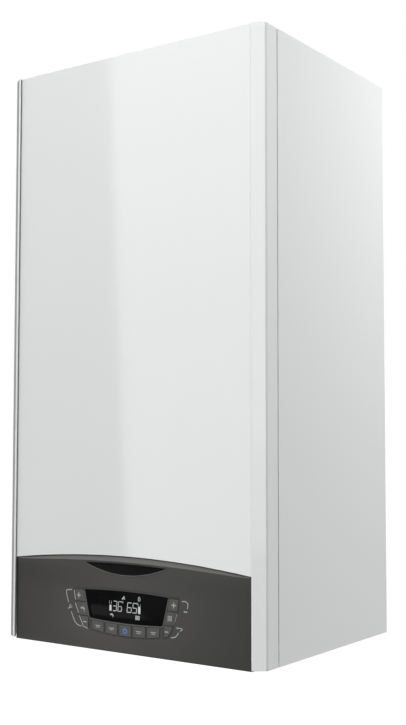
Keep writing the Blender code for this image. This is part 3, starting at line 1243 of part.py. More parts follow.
def condensate_trap(parent, plastic):
    """Bottle trap for the condensate with its outlet down through the plate."""
    place = (TRAP_X, -TRAP_SETBACK)
    inlet = 0.010
    bore = TRAP_OUTLET_BORE
    profile = [(bore, -TAIL_DROP), (TRAP_OUTLET_RADIUS, -TAIL_DROP), (TRAP_OUTLET_RADIUS, TRAP_BOTTOM),
               (TRAP_RADIUS - 0.006, TRAP_BOTTOM), (TRAP_RADIUS, TRAP_BOTTOM + 0.006), (TRAP_RADIUS, TRAP_TOP - 0.024),
               (TRAP_RADIUS - 0.006, TRAP_TOP - 0.018), (inlet, TRAP_TOP - 0.016), (inlet, TRAP_TOP), (0.0, TRAP_TOP),
               (0.0, TRAP_BOTTOM + 0.030), (bore, TRAP_BOTTOM + 0.030)]
    return piece("condensate_trap", turned(profile, "z", place, 24), plastic, parent)


def condensate_hose(parent, rubber):
    """Hose from the heat exchanger's drain down to the trap."""
    top = drain_foot() - GAP
    corners = [(EXCHANGER_X, drain_y(), top), (EXCHANGER_X, drain_y(), top - HOSE_DROP),
               (TRAP_X, -TRAP_SETBACK, TRAP_TOP + HOSE_ENTRY), (TRAP_X, -TRAP_SETBACK, TRAP_TOP + GAP)]
    return piece("condensate_hose", pipe(corners, HOSE_RADIUS, PIPE_BEND), rubber, parent)


# Control panel

def fascia_outline(inset, lip):
    """Fascia's outline under the arch, with its top edge lowered by the lip's share."""
    half = FASCIA_HALF - inset
    foot = FASCIA_GAP + inset
    points = [(-half, foot), (half, foot)]
    for x in spread(half, -half, ARCH_STEPS + 1):
        fall = LIP_HEIGHT * math.sqrt(max(0.0, 1.0 - (x / FASCIA_HALF) ** 2))
        points.append((x, arch_height(x) - FASCIA_GAP - inset - lip * max(fall, 0.1 * LIP_HEIGHT)))
    return points


def fascia(parent, plastic):
    """Moulded front of the control panel: skin, sloping upper lip, rim, key tray hole and board pillars."""
    full = fascia_outline(0.0, 0.0)
    skin = loft([fascia_outline(0.0, 1.0), full, full], "y", [FASCIA_Y, FASCIA_Y + LIP_SLOPE, FASCIA_BACK_Y])
    rear = FASCIA_Y + FASCIA_RIM_DEPTH
    rim = cut(prism(full, "y", FASCIA_BACK_Y - SHEET, rear),
              prism(fascia_outline(FASCIA_RIM_WALL, 0.0), "y", FASCIA_BACK_Y - 2 * SHEET, rear + SHEET))
    pillars = []
    for x in (-0.93 * BOARD_HALF_WIDTH, 0.93 * BOARD_HALF_WIDTH):
        for z in (BOARD_BOTTOM + 0.006, BOARD_TOP - 0.006):
            pillars.append(cylinder("y", (x, z), 0.003, FASCIA_BACK_Y - SHEET, board_y() - GAP, 12))
    shell = join(skin, rim, *pillars)
    hole = prism(tray_outline(), "y", FASCIA_Y - SHEET, FASCIA_BACK_Y + SHEET)
    return piece("fascia", cut(shell, hole), plastic, parent)


def control_box(parent, plastic):
    """Moulded box behind the fascia, round about its hinge pins so that it can tip forward."""
    front = FASCIA_BACK_Y + GAP
    floor = FASCIA_GAP + FASCIA_RIM_WALL + GAP

    def section(radius, foot, mouth):
        start = math.asin((foot - HINGE_HEIGHT) / radius)
        end = math.acos((front - HINGE_Y) / radius)
        points = [(mouth, foot)]
        for angle in spread(start, end, 15):
            points.append((HINGE_Y + radius * math.cos(angle), HINGE_HEIGHT + radius * math.sin(angle)))
        points.append((mouth, points[-1][1]))
        return points if mouth < front else points[:-1]

    outer = prism(section(BOX_SWING_RADIUS, floor, front), "x", -BOX_HALF_WIDTH, BOX_HALF_WIDTH)
    inner_half = BOX_HALF_WIDTH - BOX_WALL
    inner = prism(section(BOX_SWING_RADIUS - BOX_WALL, floor + BOX_WALL, front - SHEET), "x", -inner_half, inner_half)
    shell = cut(outer, inner)
    pins = []
    for side in (-1, 1):
        limits = sorted((side * (BOX_HALF_WIDTH - BOX_WALL / 2), side * (BOX_HALF_WIDTH + HINGE_PIN_LENGTH)))
        pins.append(cylinder("x", (HINGE_Y, HINGE_HEIGHT), HINGE_PIN_RADIUS, *limits, 16))
    return piece("control_box", join(shell, *pins), plastic, parent)


def badge_plate(parent, plastic):
    """Blank gloss badge under the lip, pointed at both ends."""
    points = []
    for x in spread(-BADGE_HALF_WIDTH, BADGE_HALF_WIDTH, 17):
        share = (x / BADGE_HALF_WIDTH) ** 2
        points.append((x, BADGE_BOTTOM + (BADGE_TIP - BADGE_BOTTOM) * share))
    for x in spread(BADGE_HALF_WIDTH, -BADGE_HALF_WIDTH, 9)[1:-1]:
        share = (x / BADGE_HALF_WIDTH) ** 2
        points.append((x, BADGE_TOP + (BADGE_TIP - BADGE_TOP) * share))
    front = FASCIA_Y - GAP - BADGE_THICKNESS
    return piece("badge_plate", prism(points, "y", front, FASCIA_Y - GAP), plastic, parent)


def lens_outline():
    """Display glass: arched top, sides drawn in downwards and a slightly bowed foot."""
    points = []
    for x in spread(-LENS_HALF_TOP, LENS_HALF_TOP, 9):
        points.append((x, LENS_TOP - (LENS_TOP - LENS_SHOULDER) * (x / LENS_HALF_TOP) ** 2))
    for x in spread(LENS_HALF_BOTTOM, -LENS_HALF_BOTTOM, 9):
        points.append((x, LENS_BOTTOM + (LENS_HEEL - LENS_BOTTOM) * (x / LENS_HALF_BOTTOM) ** 2))
    return points


def lens_edge(z):
    """Half width of the display glass at a height."""
    return LENS_HALF_BOTTOM + (LENS_HALF_TOP - LENS_HALF_BOTTOM) * (z - LENS_HEEL) / (LENS_SHOULDER - LENS_HEEL)


def tray_edge(z):
    """Half width of the key tray at a height, between its corner stations."""
    for (upper, wide), (lower, narrow) in zip(TRAY_SIDE, TRAY_SIDE[1:]):
        if z >= lower:
            return narrow + (wide - narrow) * (z - lower) / (upper - lower)
    return TRAY_SIDE[-1][1]


def tray_outline():
    """Boat-shaped outline of the key tray, the same on both sides."""
    top, half = TRAY_SIDE[0]
    crown = LENS_TOP + LENS_RIM + 2 * KEY_CLEARANCE
    points = [(x, crown + (top - crown) * (x / half) ** 2) for x in spread(-half, half, 11)]
    points += [(wide, z) for z, wide in TRAY_SIDE[1:]]
    heel, reach = TRAY_SIDE[-1]
    keel = ROW_BOTTOM - TRAY_MARGIN
    points += [(x, keel + (heel - keel) * (x / reach) ** 2) for x in spread(reach, -reach, 11)[1:-1]]
    points += [(-wide, z) for z, wide in reversed(TRAY_SIDE[1:])]
    return points


def column_outline(side, low, high):
    """One key or tile beside the glass, between two heights."""
    inner = LENS_RIM + KEY_CLEARANCE * 2
    points = [(lens_edge(high) + inner, high), (tray_edge(high) - TRAY_MARGIN, high)]
    points += [(wide - TRAY_MARGIN, z) for z, wide in TRAY_SIDE if low < z < high]
    points += [(tray_edge(low) - TRAY_MARGIN, low), (max(lens_edge(low) + inner, ROW_HALF_WIDTH + TRAY_MARGIN), low)]
    return [(side * x, z) for x, z in points][::int(side)]


def row_outline(index):
    """One key of the bottom row, counted from the left."""
    width = (2 * ROW_HALF_WIDTH - (ROW_KEYS - 1) * ROW_KEY_GAP) / ROW_KEYS
    left = -ROW_HALF_WIDTH + index * (width + ROW_KEY_GAP)
    right = left + width
    rise = (LENS_HEEL - LENS_BOTTOM) / LENS_HALF_BOTTOM ** 2
    heel, reach = TRAY_SIDE[-1]
    sweep = (heel - ROW_BOTTOM + TRAY_MARGIN) / reach ** 2
    return [(left, ROW_BOTTOM + sweep * left ** 2), (right, ROW_BOTTOM + sweep * right ** 2),
            (right, ROW_TOP + rise * right ** 2), (left, ROW_TOP + rise * left ** 2)]


def key_outlines():
    """Outline of each push key by name."""
    keys = {}
    for label, side in (("left", -1), ("right", 1)):
        keys["key_" + label + "_plus"] = column_outline(side, PLUS_FOOT, PLUS_TOP)
        keys["key_" + label + "_minus"] = column_outline(side, MINUS_FOOT, MINUS_TOP)
    for index in range(ROW_KEYS):
        name = "key_power" if index == ROW_KEYS // 2 else "key_row_" + str(index + 1)
        keys[name] = row_outline(index)
    return keys


def middle(outline):
    """Mean point of an outline."""
    return sum(x for x, z in outline) / len(outline), sum(z for x, z in outline) / len(outline)


def board_y():
    """Depth of the board's front face: behind the keys' stems, their travel and the switches."""
    return FASCIA_Y - KEY_PROUD + KEY_THICKNESS + KEY_STEM_LENGTH + KEY_TRAVEL + SWITCH_GAP + SWITCH_HEIGHT


def key_frame(parent, plastic):
    """Tray in the fascia that holds the glass and guides the keys, with two fixed picture tiles."""
    front = FASCIA_Y + FRAME_SETBACK
    raised = FASCIA_Y - KEY_PROUD / 2
    outline = grown(tray_outline(), -KEY_CLEARANCE)
    frame = prism(outline, "y", front, front + FRAME_THICKNESS)
    rim = prism(grown(lens_outline(), LENS_RIM), "y", raised, front + SHEET)
    tiles = []
    for side in (-1, 1):
        tiles.append(prism(column_outline(side, MINUS_TOP + ROW_KEY_GAP, PLUS_FOOT - ROW_KEY_GAP), "y",
                           raised, front + SHEET))
    frame = join(frame, rim, *tiles)
    floor = FASCIA_Y - LENS_PROUD + LENS_THICKNESS + GAP
    slots = [prism(grown(lens_outline(), KEY_CLEARANCE), "y", CREST_Y, floor)]
    for outline in key_outlines().values():
        slots.append(prism(grown(outline, KEY_CLEARANCE), "y", CREST_Y, front + 2 * FRAME_THICKNESS))
    for slot in slots:
        frame = cut(frame, slot)
    return piece("key_frame", frame, plastic, parent)


def display_lens(parent, glass):
    """Black display glass set in the tray."""
    front = FASCIA_Y - LENS_PROUD
    return piece("display_lens", prism(lens_outline(), "y", front, front + LENS_THICKNESS), glass, parent)


def main_board(parent, laminate):
    """Circuit board behind the keys, with one push switch under each."""
    front = board_y()
    half = BOARD_HALF_WIDTH
    board = box((-half, half), (front, front + BOARD_THICKNESS), (BOARD_BOTTOM, BOARD_TOP))
    switches = []
    for outline in key_outlines().values():
        x, z = middle(outline)
        side = SWITCH_SIZE / 2
        switches.append(box((x - side, x + side), (front - SWITCH_HEIGHT, front + BOARD_THICKNESS / 2), (z - side, z + side)))
    return piece("main_board", join(board, *switches), laminate, parent)


def push_key(name, outline, parent, plastic):
    """One push key: its cap with a broken edge and the stem behind it."""
    front = FASCIA_Y - KEY_PROUD
    back = front + KEY_THICKNESS
    edge = grown(outline, -KEY_CLEARANCE)
    cap = loft([edge, outline, outline], "y", [front, front + KEY_CLEARANCE, back])
    x, z = middle(outline)
    stem = cylinder("y", (x, z), KEY_STEM_RADIUS, back - SHEET, back + KEY_STEM_LENGTH, 10)
    return piece(name, join(cap, stem), plastic, parent, (x, front, z))


def carrier(name, place, parent=None):
    """An empty at a place in the casing's frame, remembered for the pieces it carries."""
    before = Vector(parent["place"]) if parent else Vector((0.0, 0.0, 0.0))
    holder = empty(name, Vector(place) - before, parent)
    holder["place"] = tuple(place)
    return holder


def main():
    """Build the whole boiler."""
    start_scene()
    root = carrier("boiler_root", (0.0, 0.0, 0.0))
    root.location = (0.0, 0.0, -HANG_HEIGHT)

    paint = finish("white_enamel", (0.86, 0.87, 0.87), 0.22)
    zinc = finish("galvanised_sheet", (0.62, 0.63, 0.64), 0.42, 0.9)
    foam = finish("dark_foam", (0.05, 0.05, 0.05), 0.95)
    felt = finish("white_insulation", (0.78, 0.77, 0.73), 0.95)
    vessel_red = finish("vessel_enamel", (0.55, 0.04, 0.03), 0.35)
    composite = finish("black_composite", (0.045, 0.045, 0.048), 0.55)
    stainless = finish("stainless_steel", (0.66, 0.65, 0.63), 0.28, 1.0)
    cast = finish("cast_aluminium", (0.55, 0.56, 0.57), 0.5, 0.95)
    ceramic = finish("white_ceramic", (0.82, 0.81, 0.78), 0.3)
    flue_white = finish("flue_plastic", (0.76, 0.77, 0.78), 0.4)
    motor_grey = finish("motor_shell", (0.16, 0.17, 0.18), 0.45, 0.6)
    copper = finish("copper_pipe", (0.72, 0.38, 0.24), 0.32, 1.0)
    brass = finish("brass", (0.68, 0.53, 0.25), 0.35, 1.0)
    block = finish("glass_filled_nylon", (0.07, 0.07, 0.075), 0.6)
    rubber = finish("grey_rubber", (0.18, 0.18, 0.19), 0.8)
    signal_red = finish("red_plastic", (0.62, 0.03, 0.03), 0.4)
    signal_blue = finish("blue_plastic", (0.04, 0.12, 0.45), 0.4)
    trap_white = finish("trap_plastic", (0.72, 0.74, 0.74), 0.35)
    charcoal = finish("charcoal_plastic", (0.085, 0.083, 0.080), 0.42)
    box_grey = finish("box_plastic", (0.12, 0.12, 0.125), 0.6)
    gloss_black = finish("gloss_black", (0.008, 0.008, 0.009), 0.08)
    key_grey = finish("key_plastic", (0.10, 0.099, 0.097), 0.45)
    laminate = finish("board_laminate", (0.03, 0.20, 0.09), 0.45)

    wall_bracket(root, zinc)
    rear_frame(root, zinc)
    side_panel("left_side_panel", -1, root, paint)
    side_panel("right_side_panel", 1, root, paint)
    top_panel(root, paint)
    bottom_plate(root, zinc)
    casing_gasket(root, foam)
    expansion_vessel(root, vessel_red)
    vessel_pipe(root, stainless)
    exchanger_bracket(root, zinc)
    exchanger_shell(root, composite)
    exchanger_coil(root, stainless)
    burner_door(root, cast)
    burner(root, stainless)
    ignition_electrode(root, ceramic)
    flue_spigot(root, flue_white)
    flue_collar(root, flue_white)

    fan_housing(root, cast)
    fan_motor(root, motor_grey)
    fan_wheel(carrier("fan_shaft", (FAN_X, -FAN_REAR - FAN_DEPTH / 2, FAN_HEIGHT), root), composite)
    venturi_mixer(root, cast)
    air_silencer(root, composite)
    gas_valve(root, cast)
    gas_pipe(root, copper)
    gas_tail(root, brass)

    plate_exchanger(root, stainless)
    flow_manifold(root, block)
    diverter_motor(root, block)
    diverter_stem(root, brass)
    return_manifold(root, block)
    relief_knob(carrier("relief_axis", (RELIEF_X, relief_face(), RELIEF_HEIGHT), root), signal_red)
    filling_knob(carrier("filling_axis", (FILLING_X, -FILLING_SETBACK, FILLING_KNOB_BOTTOM), root), signal_blue)
    pump_body(root, block)
    pump_motor(root, motor_grey)
    pump_wheel(carrier("pump_shaft", (PUMP_X, pump_y(), PUMP_HEIGHT), root), composite)
    flow_pipe(root, copper)
    return_pipe(root, copper)
    condensate_trap(root, trap_white)
    condensate_hose(root, rubber)
    tails = tail_places()
    for name, (x, radius) in zip(("flow_tail", "hot_water_tail", None, "cold_water_tail", "return_tail"), tails):
        if name:
            bore = TAIL_BORE_LARGE if radius > TAIL_RADIUS_SMALL else TAIL_BORE_SMALL
            water_tail(name, x, radius, bore, root, brass)

    panel = carrier("control_panel_hinge", (0.0, HINGE_Y, HINGE_HEIGHT), root)
    control_box(panel, box_grey)
    fascia(panel, charcoal)
    badge_plate(panel, gloss_black)
    key_frame(panel, charcoal)
    display_lens(panel, gloss_black)
    main_board(panel, laminate)
    for name, outline in key_outlines().items():
        push_key(name, outline, panel, key_grey)

    slide = carrier("casing_slide", (0.0, CREST_Y, CASE_HEIGHT / 2), root)
    front_casing(slide, paint)
    front_pad(slide, felt)


main()
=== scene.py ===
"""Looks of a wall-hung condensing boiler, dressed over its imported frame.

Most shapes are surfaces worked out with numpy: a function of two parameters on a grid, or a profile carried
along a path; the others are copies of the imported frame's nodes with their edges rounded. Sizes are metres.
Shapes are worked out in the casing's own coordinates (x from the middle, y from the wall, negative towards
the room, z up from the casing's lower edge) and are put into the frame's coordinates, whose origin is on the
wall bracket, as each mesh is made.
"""

from __future__ import annotations

import logging
import math
from dataclasses import dataclass, field
from enum import Enum
from typing import Callable, Iterable, Sequence

import bmesh
import bpy
import numpy as np
from mathutils import Matrix, Vector
from mathutils.geometry import tessellate_polygon

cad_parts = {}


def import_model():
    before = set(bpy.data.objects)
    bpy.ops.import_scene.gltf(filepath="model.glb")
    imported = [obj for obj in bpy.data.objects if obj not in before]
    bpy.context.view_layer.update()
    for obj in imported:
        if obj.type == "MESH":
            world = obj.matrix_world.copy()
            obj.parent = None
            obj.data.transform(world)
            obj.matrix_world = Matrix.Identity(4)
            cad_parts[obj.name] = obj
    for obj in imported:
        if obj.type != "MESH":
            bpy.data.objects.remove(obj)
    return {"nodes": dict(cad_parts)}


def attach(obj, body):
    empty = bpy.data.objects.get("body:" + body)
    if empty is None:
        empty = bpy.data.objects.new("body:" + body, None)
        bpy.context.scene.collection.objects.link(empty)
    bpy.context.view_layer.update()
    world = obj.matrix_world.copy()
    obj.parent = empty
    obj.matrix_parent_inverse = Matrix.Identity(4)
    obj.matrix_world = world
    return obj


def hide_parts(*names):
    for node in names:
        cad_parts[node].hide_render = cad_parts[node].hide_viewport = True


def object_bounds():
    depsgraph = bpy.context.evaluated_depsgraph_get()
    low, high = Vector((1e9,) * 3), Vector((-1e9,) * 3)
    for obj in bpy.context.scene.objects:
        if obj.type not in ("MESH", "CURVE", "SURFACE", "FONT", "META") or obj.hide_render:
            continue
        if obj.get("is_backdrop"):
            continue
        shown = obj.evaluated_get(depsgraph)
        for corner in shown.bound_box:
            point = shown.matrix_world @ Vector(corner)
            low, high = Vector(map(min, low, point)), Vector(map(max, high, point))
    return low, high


Array = np.ndarray
Piece = bpy.types.Object
Socket = bpy.types.NodeSocket
Sockets = tuple[Socket, Socket]
Colour = tuple[float, float, float]
Triple = tuple[float, float, float]
Pair = tuple[float, float]
Wave = Callable[[Array, Array], Array]
LOG = logging.getLogger("boiler")
HANG = 0.685
TINY = 1e-12
NODES: dict[str, Piece] = {}


class Axis(Enum):
    """Which way a shape's third coordinate points; the first two lie across it."""

    X = (1, 2, 0)
    Y = (0, 2, 1)
    Z = (0, 1, 2)


# Sizes of the casing that several sub-assemblies share

@dataclass(frozen=True)
class Casing:
    """Outer sizes of the boiler's sheet casing and the planes worked out from them."""

    width: float = 0.4
    height: float = 0.745
    depth: float = 0.315
    sheet: float = 0.001
    gap: float = 0.0003
    corner_run: float = 0.0149
    corner_drop: float = 0.0099
    corner_step: float = 0.0032
    crest_flat: float = 0.001
    side_return: float = 0.0248
    arch_crown: float = 0.1158
    arch_radius: float = 1.457

    @property
    def half(self) -> float:
        """Half of the width."""
        return self.width / 2

    @property
    def crest_y(self) -> float:
        """Foremost plane, on the corner profiles."""
        return -self.depth

    @property
    def plate_y(self) -> float:
        """Plane of the recessed front plate."""
        return self.crest_y + self.corner_step

    @property
    def shoulder_y(self) -> float:
        """Rear end of the chamfer."""
        return self.crest_y + self.corner_drop

    @property
    def seam_y(self) -> float:
        """Rear edge of the front casing's side returns."""
        return self.shoulder_y + self.side_return

    @property
    def crest_x(self) -> float:
        """Outer edge of the corner profile's narrow crest."""
        return self.half - self.corner_run

    @property
    def flank_x(self) -> float:
        """Inner edge of the corner profile, where it steps back to the plate."""
        return self.crest_x - self.crest_flat

    def arch(self, x: Array) -> Array:
        """Height of the arched lower edge of the front plate.

        A circle's arc: crown - radius + sqrt(radius^2 - x^2).

        Args:
            x: distances from the middle.

        Returns:
            The heights above the casing's lower edge.
        """
        return self.arch_crown - self.arch_radius + np.sqrt(self.arch_radius ** 2 - np.asarray(x) ** 2)


# Shapes as arrays

def fillet(points: Iterable[Sequence[float]], radius: float | Sequence[float], steps: int = 5,
           closed: bool = False) -> Array:
    """Round a polyline's corners.

    Each corner becomes a bend between two points on its sides, one radius away from it, or just under half
    a side away where the side is short.

    Args:
        points: corners, in two or three dimensions.
        radius: distance from the corner to where its curve starts, one for all or one for each.
        steps: points in each curve, less one.
        closed: whether the last corner joins the first.

    Returns:
        The rounded polyline's points.
    """
    p = np.asarray(list(points), float)
    size = np.broadcast_to(np.asarray(radius, float), (len(p),))[:, None]
    ends = []
    for other in (np.roll(p, 1, 0), np.roll(p, -1, 0)):
        length = np.linalg.norm(other - p, axis=1, keepdims=True)
        ends.append(p + (other - p) / np.maximum(length, TINY) * np.minimum(size, 0.49 * length))
    t = np.linspace(0.0, 1.0, steps + 1)[None, :, None]
    curve = bend(ends[0][:, None], p[:, None], ends[1][:, None], t)
    if closed:
        return curve.reshape(-1, p.shape[1])
    return np.vstack([p[:1], curve[1:-1].reshape(-1, p.shape[1]), p[-1:]])


def bend(start: Array, corner: Array, end: Array, t: Array) -> Array:
    """Points of the curve (1-t)^2 start + 2t(1-t) corner + t^2 end."""
    return (1 - t) ** 2 * start + 2 * t * (1 - t) * corner + t ** 2 * end


def at_level(outline: Array, level: float) -> Array:
    """An outline's points with a third coordinate that is the same for all."""
    return np.column_stack([outline, np.full(len(outline), level)])


def unit(vectors: Array, least: float = TINY) -> Array:
    """Vectors brought to a length of 1; the shortest ones are divided by the least length instead."""
    return vectors / np.maximum(np.linalg.norm(vectors, axis=-1, keepdims=True), least)


def upright(radius: float, along: Array) -> Array:
    """Profile points of one radius at several places along the axis."""
    return np.stack([np.full(len(along), radius), along], 1)


def around(centre: Pair, reach: float, degrees: Iterable[float]) -> list[Pair]:
    """Places on a circle round a centre, at angles in degrees."""
    return [(centre[0] + reach * math.cos(a), centre[1] + reach * math.sin(a))
            for a in np.radians(list(degrees))]


def anticlockwise(outline: Array) -> Array:
    """An outline with its points in anticlockwise order, by the sign of its area."""
    x, y = outline[:, 0], outline[:, 1]
    area = np.sum(x * np.roll(y, -1) - np.roll(x, -1) * y)
    return outline if area > 0 else outline[::-1]


def offset(outline: Array, distance: float) -> Array:
    """An anticlockwise outline moved outwards by a distance, with mitred corners.

    Each point moves along the mean of its two sides' normals, divided by the cosine of half the turn.

    Args:
        outline: closed outline, one row per point.
        distance: how far to move; negative moves inwards.

    Returns:
        The moved outline.
    """
    ahead = unit(np.roll(outline, -1, 0) - outline)
    out = np.stack([ahead[:, 1], -ahead[:, 0]], 1)
    mean = unit(out + np.roll(out, 1, 0), 1e-9)
    lean = np.maximum(np.sum(mean * out, axis=1, keepdims=True), 0.35)
    return outline + mean * distance / lean


def circle(radius: float, centre: Pair, count: int) -> Array:
    """Points of a circle, anticlockwise: centre + radius (cos a, sin a)."""
    a = np.linspace(0.0, math.tau, count, endpoint=False)
    return np.stack([centre[0] + radius * np.cos(a), centre[1] + radius * np.sin(a)], 1)


def rectangle(x: Pair, y: Pair, radius: float = 0.0, steps: int = 5) -> Array:
    """An upright rectangle between two pairs of limits, with rounded corners if a radius is given."""
    corners = np.array([(x[0], y[0]), (x[1], y[0]), (x[1], y[1]), (x[0], y[1])])
    return fillet(corners, radius, steps, closed=True) if radius else corners


def crowned(half: float, middle: float, rise: float, count: int, start: float = -1.0) -> Array:
    """A parabola's points (half u, middle + rise u^2), for u from -1 to 1, or from 1 to -1."""
    u = np.linspace(start, -start, count)
    return np.stack([half * u, middle + rise * u ** 2], 1)


def turned(profile: Array, segments: int = 64, wave: Wave | None = None) -> Array:
    """A profile turned round an axis: (r cos a, r sin a, along).

    Args:
        profile: (radius, distance along the axis), one row per point.
        segments: columns round the axis.
        wave: optional factor on the radius as a function of the angle and the distance along the axis.

    Returns:
        A grid of points, profile by angle.
    """
    a = np.linspace(0.0, math.tau, segments, endpoint=False)[None, :]
    r, along = profile[:, :1], profile[:, 1:] + 0.0 * a
    reach = r * (wave(a, along) if wave else 1.0)
    return np.stack([reach * np.cos(a), reach * np.sin(a), along], -1)


def within(low: float, high: float, wave: Wave) -> Wave:
    """A wave on a turned profile's radius that acts only between two places along the axis."""
    return lambda angle, along: np.where((along > low) & (along < high), wave(angle, along), 1.0)


def swept(path: Array, radius: float | Array, sides: int = 20) -> Array:
    """A round tube along a path: path + r (cos a n + sin a b), closed at both ends.

    The cross directions n and b are carried from point to point with the least turn, so the tube doesn't
    twist.

    Args:
        path: points of the tube's middle line.
        radius: the tube's radius, one for all points or one for each.
        sides: columns round the tube.

    Returns:
        A grid of points, path by angle, with a closing row at each end.
    """
    tangent = unit(np.gradient(path, axis=0))
    start = np.eye(3)[np.argmin(np.abs(tangent[0]))]
    across = np.zeros_like(path)
    across[0] = np.cross(tangent[0], start)
    for here in range(1, len(path)):
        across[here] = unit(across[here - 1] - tangent[here] * (across[here - 1] @ tangent[here]))
    across[0] = unit(across[0])
    other = np.cross(tangent, across)
    a = np.linspace(0.0, math.tau, sides, endpoint=False)[None, :, None]
    size = np.broadcast_to(np.asarray(radius, float), (len(path),))[:, None, None]
    rings = path[:, None] + size * (np.cos(a) * across[:, None] + np.sin(a) * other[:, None])
    ends = [np.repeat(path[end][None, None], sides, 1) for end in (0, -1)]
    return np.concatenate([ends[0], rings, ends[1]], 0)


def dense(path: Array, step: float) -> Array:
    """A polyline resampled at even steps along its length."""
    length = np.concatenate([[0.0], np.cumsum(np.linalg.norm(np.diff(path, axis=0), axis=1))])
    at = np.linspace(0.0, length[-1], max(2, int(round(length[-1] / step)) + 1))
    return np.stack([np.interp(at, length, path[:, k]) for k in range(path.shape[1])], 1)


@dataclass
class Surface:
    """Points and faces of one piece, gathered shape by shape before they become its mesh."""

    points: list[Array] = field(default_factory=list)
    faces: list[list[int]] = field(default_factory=list)
    count: int = 0

    def add(self, points: Array, faces: Array) -> "Surface":
        """Take in a block of points with faces counted from the block's own first point."""
        self.points.append(np.asarray(points, float).reshape(-1, 3))
        self.faces.extend((np.asarray(faces) + self.count).tolist())
        self.count += len(self.points[-1])
        return self

    def grid(self, points: Array, closed: bool = False, ring: bool = False) -> "Surface":
        """Take in a grid of points as four-sided faces.

        Args:
            points: rows by columns by three.
            closed: whether the last column joins the first.
            ring: whether the last row joins the first.

        Returns:
            The surface itself.
        """
        rows, columns = points.shape[:2]
        i = np.arange(rows if ring else rows - 1)[:, None]
        j = np.arange(columns if closed else columns - 1)[None, :]
        up, across = (i + 1) % rows, (j + 1) % columns
        corners = (i * columns + j, i * columns + across, up * columns + across, up * columns + j)
        return self.add(points, np.stack(corners, -1).reshape(-1, 4))

    def lathe(self, profile: Array, axis: Axis, centre: Pair, segments: int = 64,
              wave: Wave | None = None, closed: bool = False) -> "Surface":
        """Take in a profile (radius, along) turned round an axis through a centre.

        A profile that starts and ends at radius 0 closes in a pole at each end; a closed one joins its last
        point to its first.
        """
        turn = turned(np.asarray(profile, float), segments, wave)
        turn[..., :2] += centre
        return self.grid(unfold(turn, axis), closed=True, ring=closed)

    def tube(self, path: Array, radius: float | Array, sides: int = 20) -> "Surface":
        """Take in a round tube along a path."""
        return self.grid(swept(path, radius, sides), closed=True)

    def flat(self, loops: Sequence[Array], level: float, axis: Axis) -> "Surface":
        """Take in a flat face with holes: the first loop is its edge and the others are the holes."""
        ring = np.vstack(list(loops))
        spans = [[Vector((x, y, 0.0)) for x, y in loop] for loop in loops]
        faces = tessellate_polygon(spans) if len(loops) > 1 else [range(len(ring))]
        return self.add(unfold(at_level(ring, level), axis), np.array(faces))

    def slab(self, outline: Array, low: float, high: float, axis: Axis = Axis.Y, round_low: float = 0.0,
             round_high: float = 0.0, holes: Sequence[Array] = (), steps: int = 3) -> "Surface":
        """Take in a plate between two levels, with rounded rims and holes through it.

        The rim is a quarter circle: inset r (1 - cos a) at r (1 - sin a) from the face, for a from 0 to 90
        degrees, and the outline follows it inwards while each hole's outline follows it outwards.

        Args:
            outline: the plate's outline across the axis.
            low: one face's place along the axis.
            high: the other face's place.
            axis: the direction through the plate.
            round_low: rim radius at the low face.
            round_high: rim radius at the high face.
            holes: outlines of the holes.
            steps: rows in each rounded rim.

        Returns:
            The surface itself.
        """
        a = np.linspace(0.0, math.pi / 2, steps + 1)
        insets: list[float] = []
        levels: list[float] = []
        for face, radius, side, order in ((low, round_low, 1.0, -1), (high, round_high, -1.0, 1)):
            turn = a[::order] if radius else a[:1]
            insets.extend(radius * (1 - np.cos(turn)))
            levels.extend(face + side * radius * (1 - np.sin(turn)))
        caps: list[list[Array]] = [[], []]
        for number, loop in enumerate([outline, *holes]):
            loop = anticlockwise(np.asarray(loop, float))
            side = -1.0 if number == 0 else 1.0
            rings = np.stack([offset(loop, side * inset) for inset in insets])
            heights = np.broadcast_to(np.array(levels)[:, None, None], rings.shape[:2] + (1,))
            self.grid(unfold(np.concatenate([rings, heights], -1), axis), closed=True)
            caps[0].append(rings[0])
            caps[1].append(rings[-1])
        self.flat(caps[0], low, axis)
        return self.flat(caps[1], high, axis)

    def block(self, x: Pair, y: Pair, z: Pair,
              radius: float = 0.001) -> "Surface":
        """Take in a box with rounded corners and rims, between three pairs of limits."""
        return self.slab(rectangle(x, z, radius, 4), min(y), max(y), Axis.Y, radius, radius)

    def hoop(self, axis: Axis, centre: Pair, radius: float, level: float, thick: float,
             sides: int, segments: int) -> "Surface":
        """Take in a ring of round section: the circle (radius, level) + thick (cos a, sin a), turned."""
        return self.lathe(circle(thick, (radius, level), sides), axis, centre, segments, closed=True)

    def build(self, name: str, sharp: float = 32.0) -> Piece:
        """Make the gathered points and faces one mesh object, at the frame's origin.

        Args:
            name: the object's name.
            sharp: edges that turn by more than this angle, in degrees, stay sharp.

        Returns:
            The new object, linked to the scene.
        """
        mesh = bpy.data.meshes.new(name)
        mesh.from_pydata((np.vstack(self.points) - np.array([0.0, 0.0, HANG])).tolist(), [], self.faces)
        clean(mesh, 2e-6, False)
        smooth(mesh, sharp)
        return linked(name, mesh)


def clean(mesh: bpy.types.Mesh, merge: float, flat: bool) -> None:
    """Merge a mesh's equal points, so that poles and seams close, and turn its faces outwards.

    Args:
        mesh: the mesh.
        merge: points nearer than this become one.
        flat: whether neighbours in one plane are merged too; otherwise faces without an area go.
    """
    shape = bmesh.new()
    shape.from_mesh(mesh)
    bmesh.ops.remove_doubles(shape, verts=shape.verts, dist=merge)
    if flat:
        bmesh.ops.dissolve_limit(shape, angle_limit=math.radians(1.0), verts=shape.verts, edges=shape.edges)
    else:
        bmesh.ops.dissolve_degenerate(shape, dist=1e-7, edges=shape.edges)
    bmesh.ops.recalc_face_normals(shape, faces=shape.faces)
    shape.to_mesh(mesh)
    shape.free()


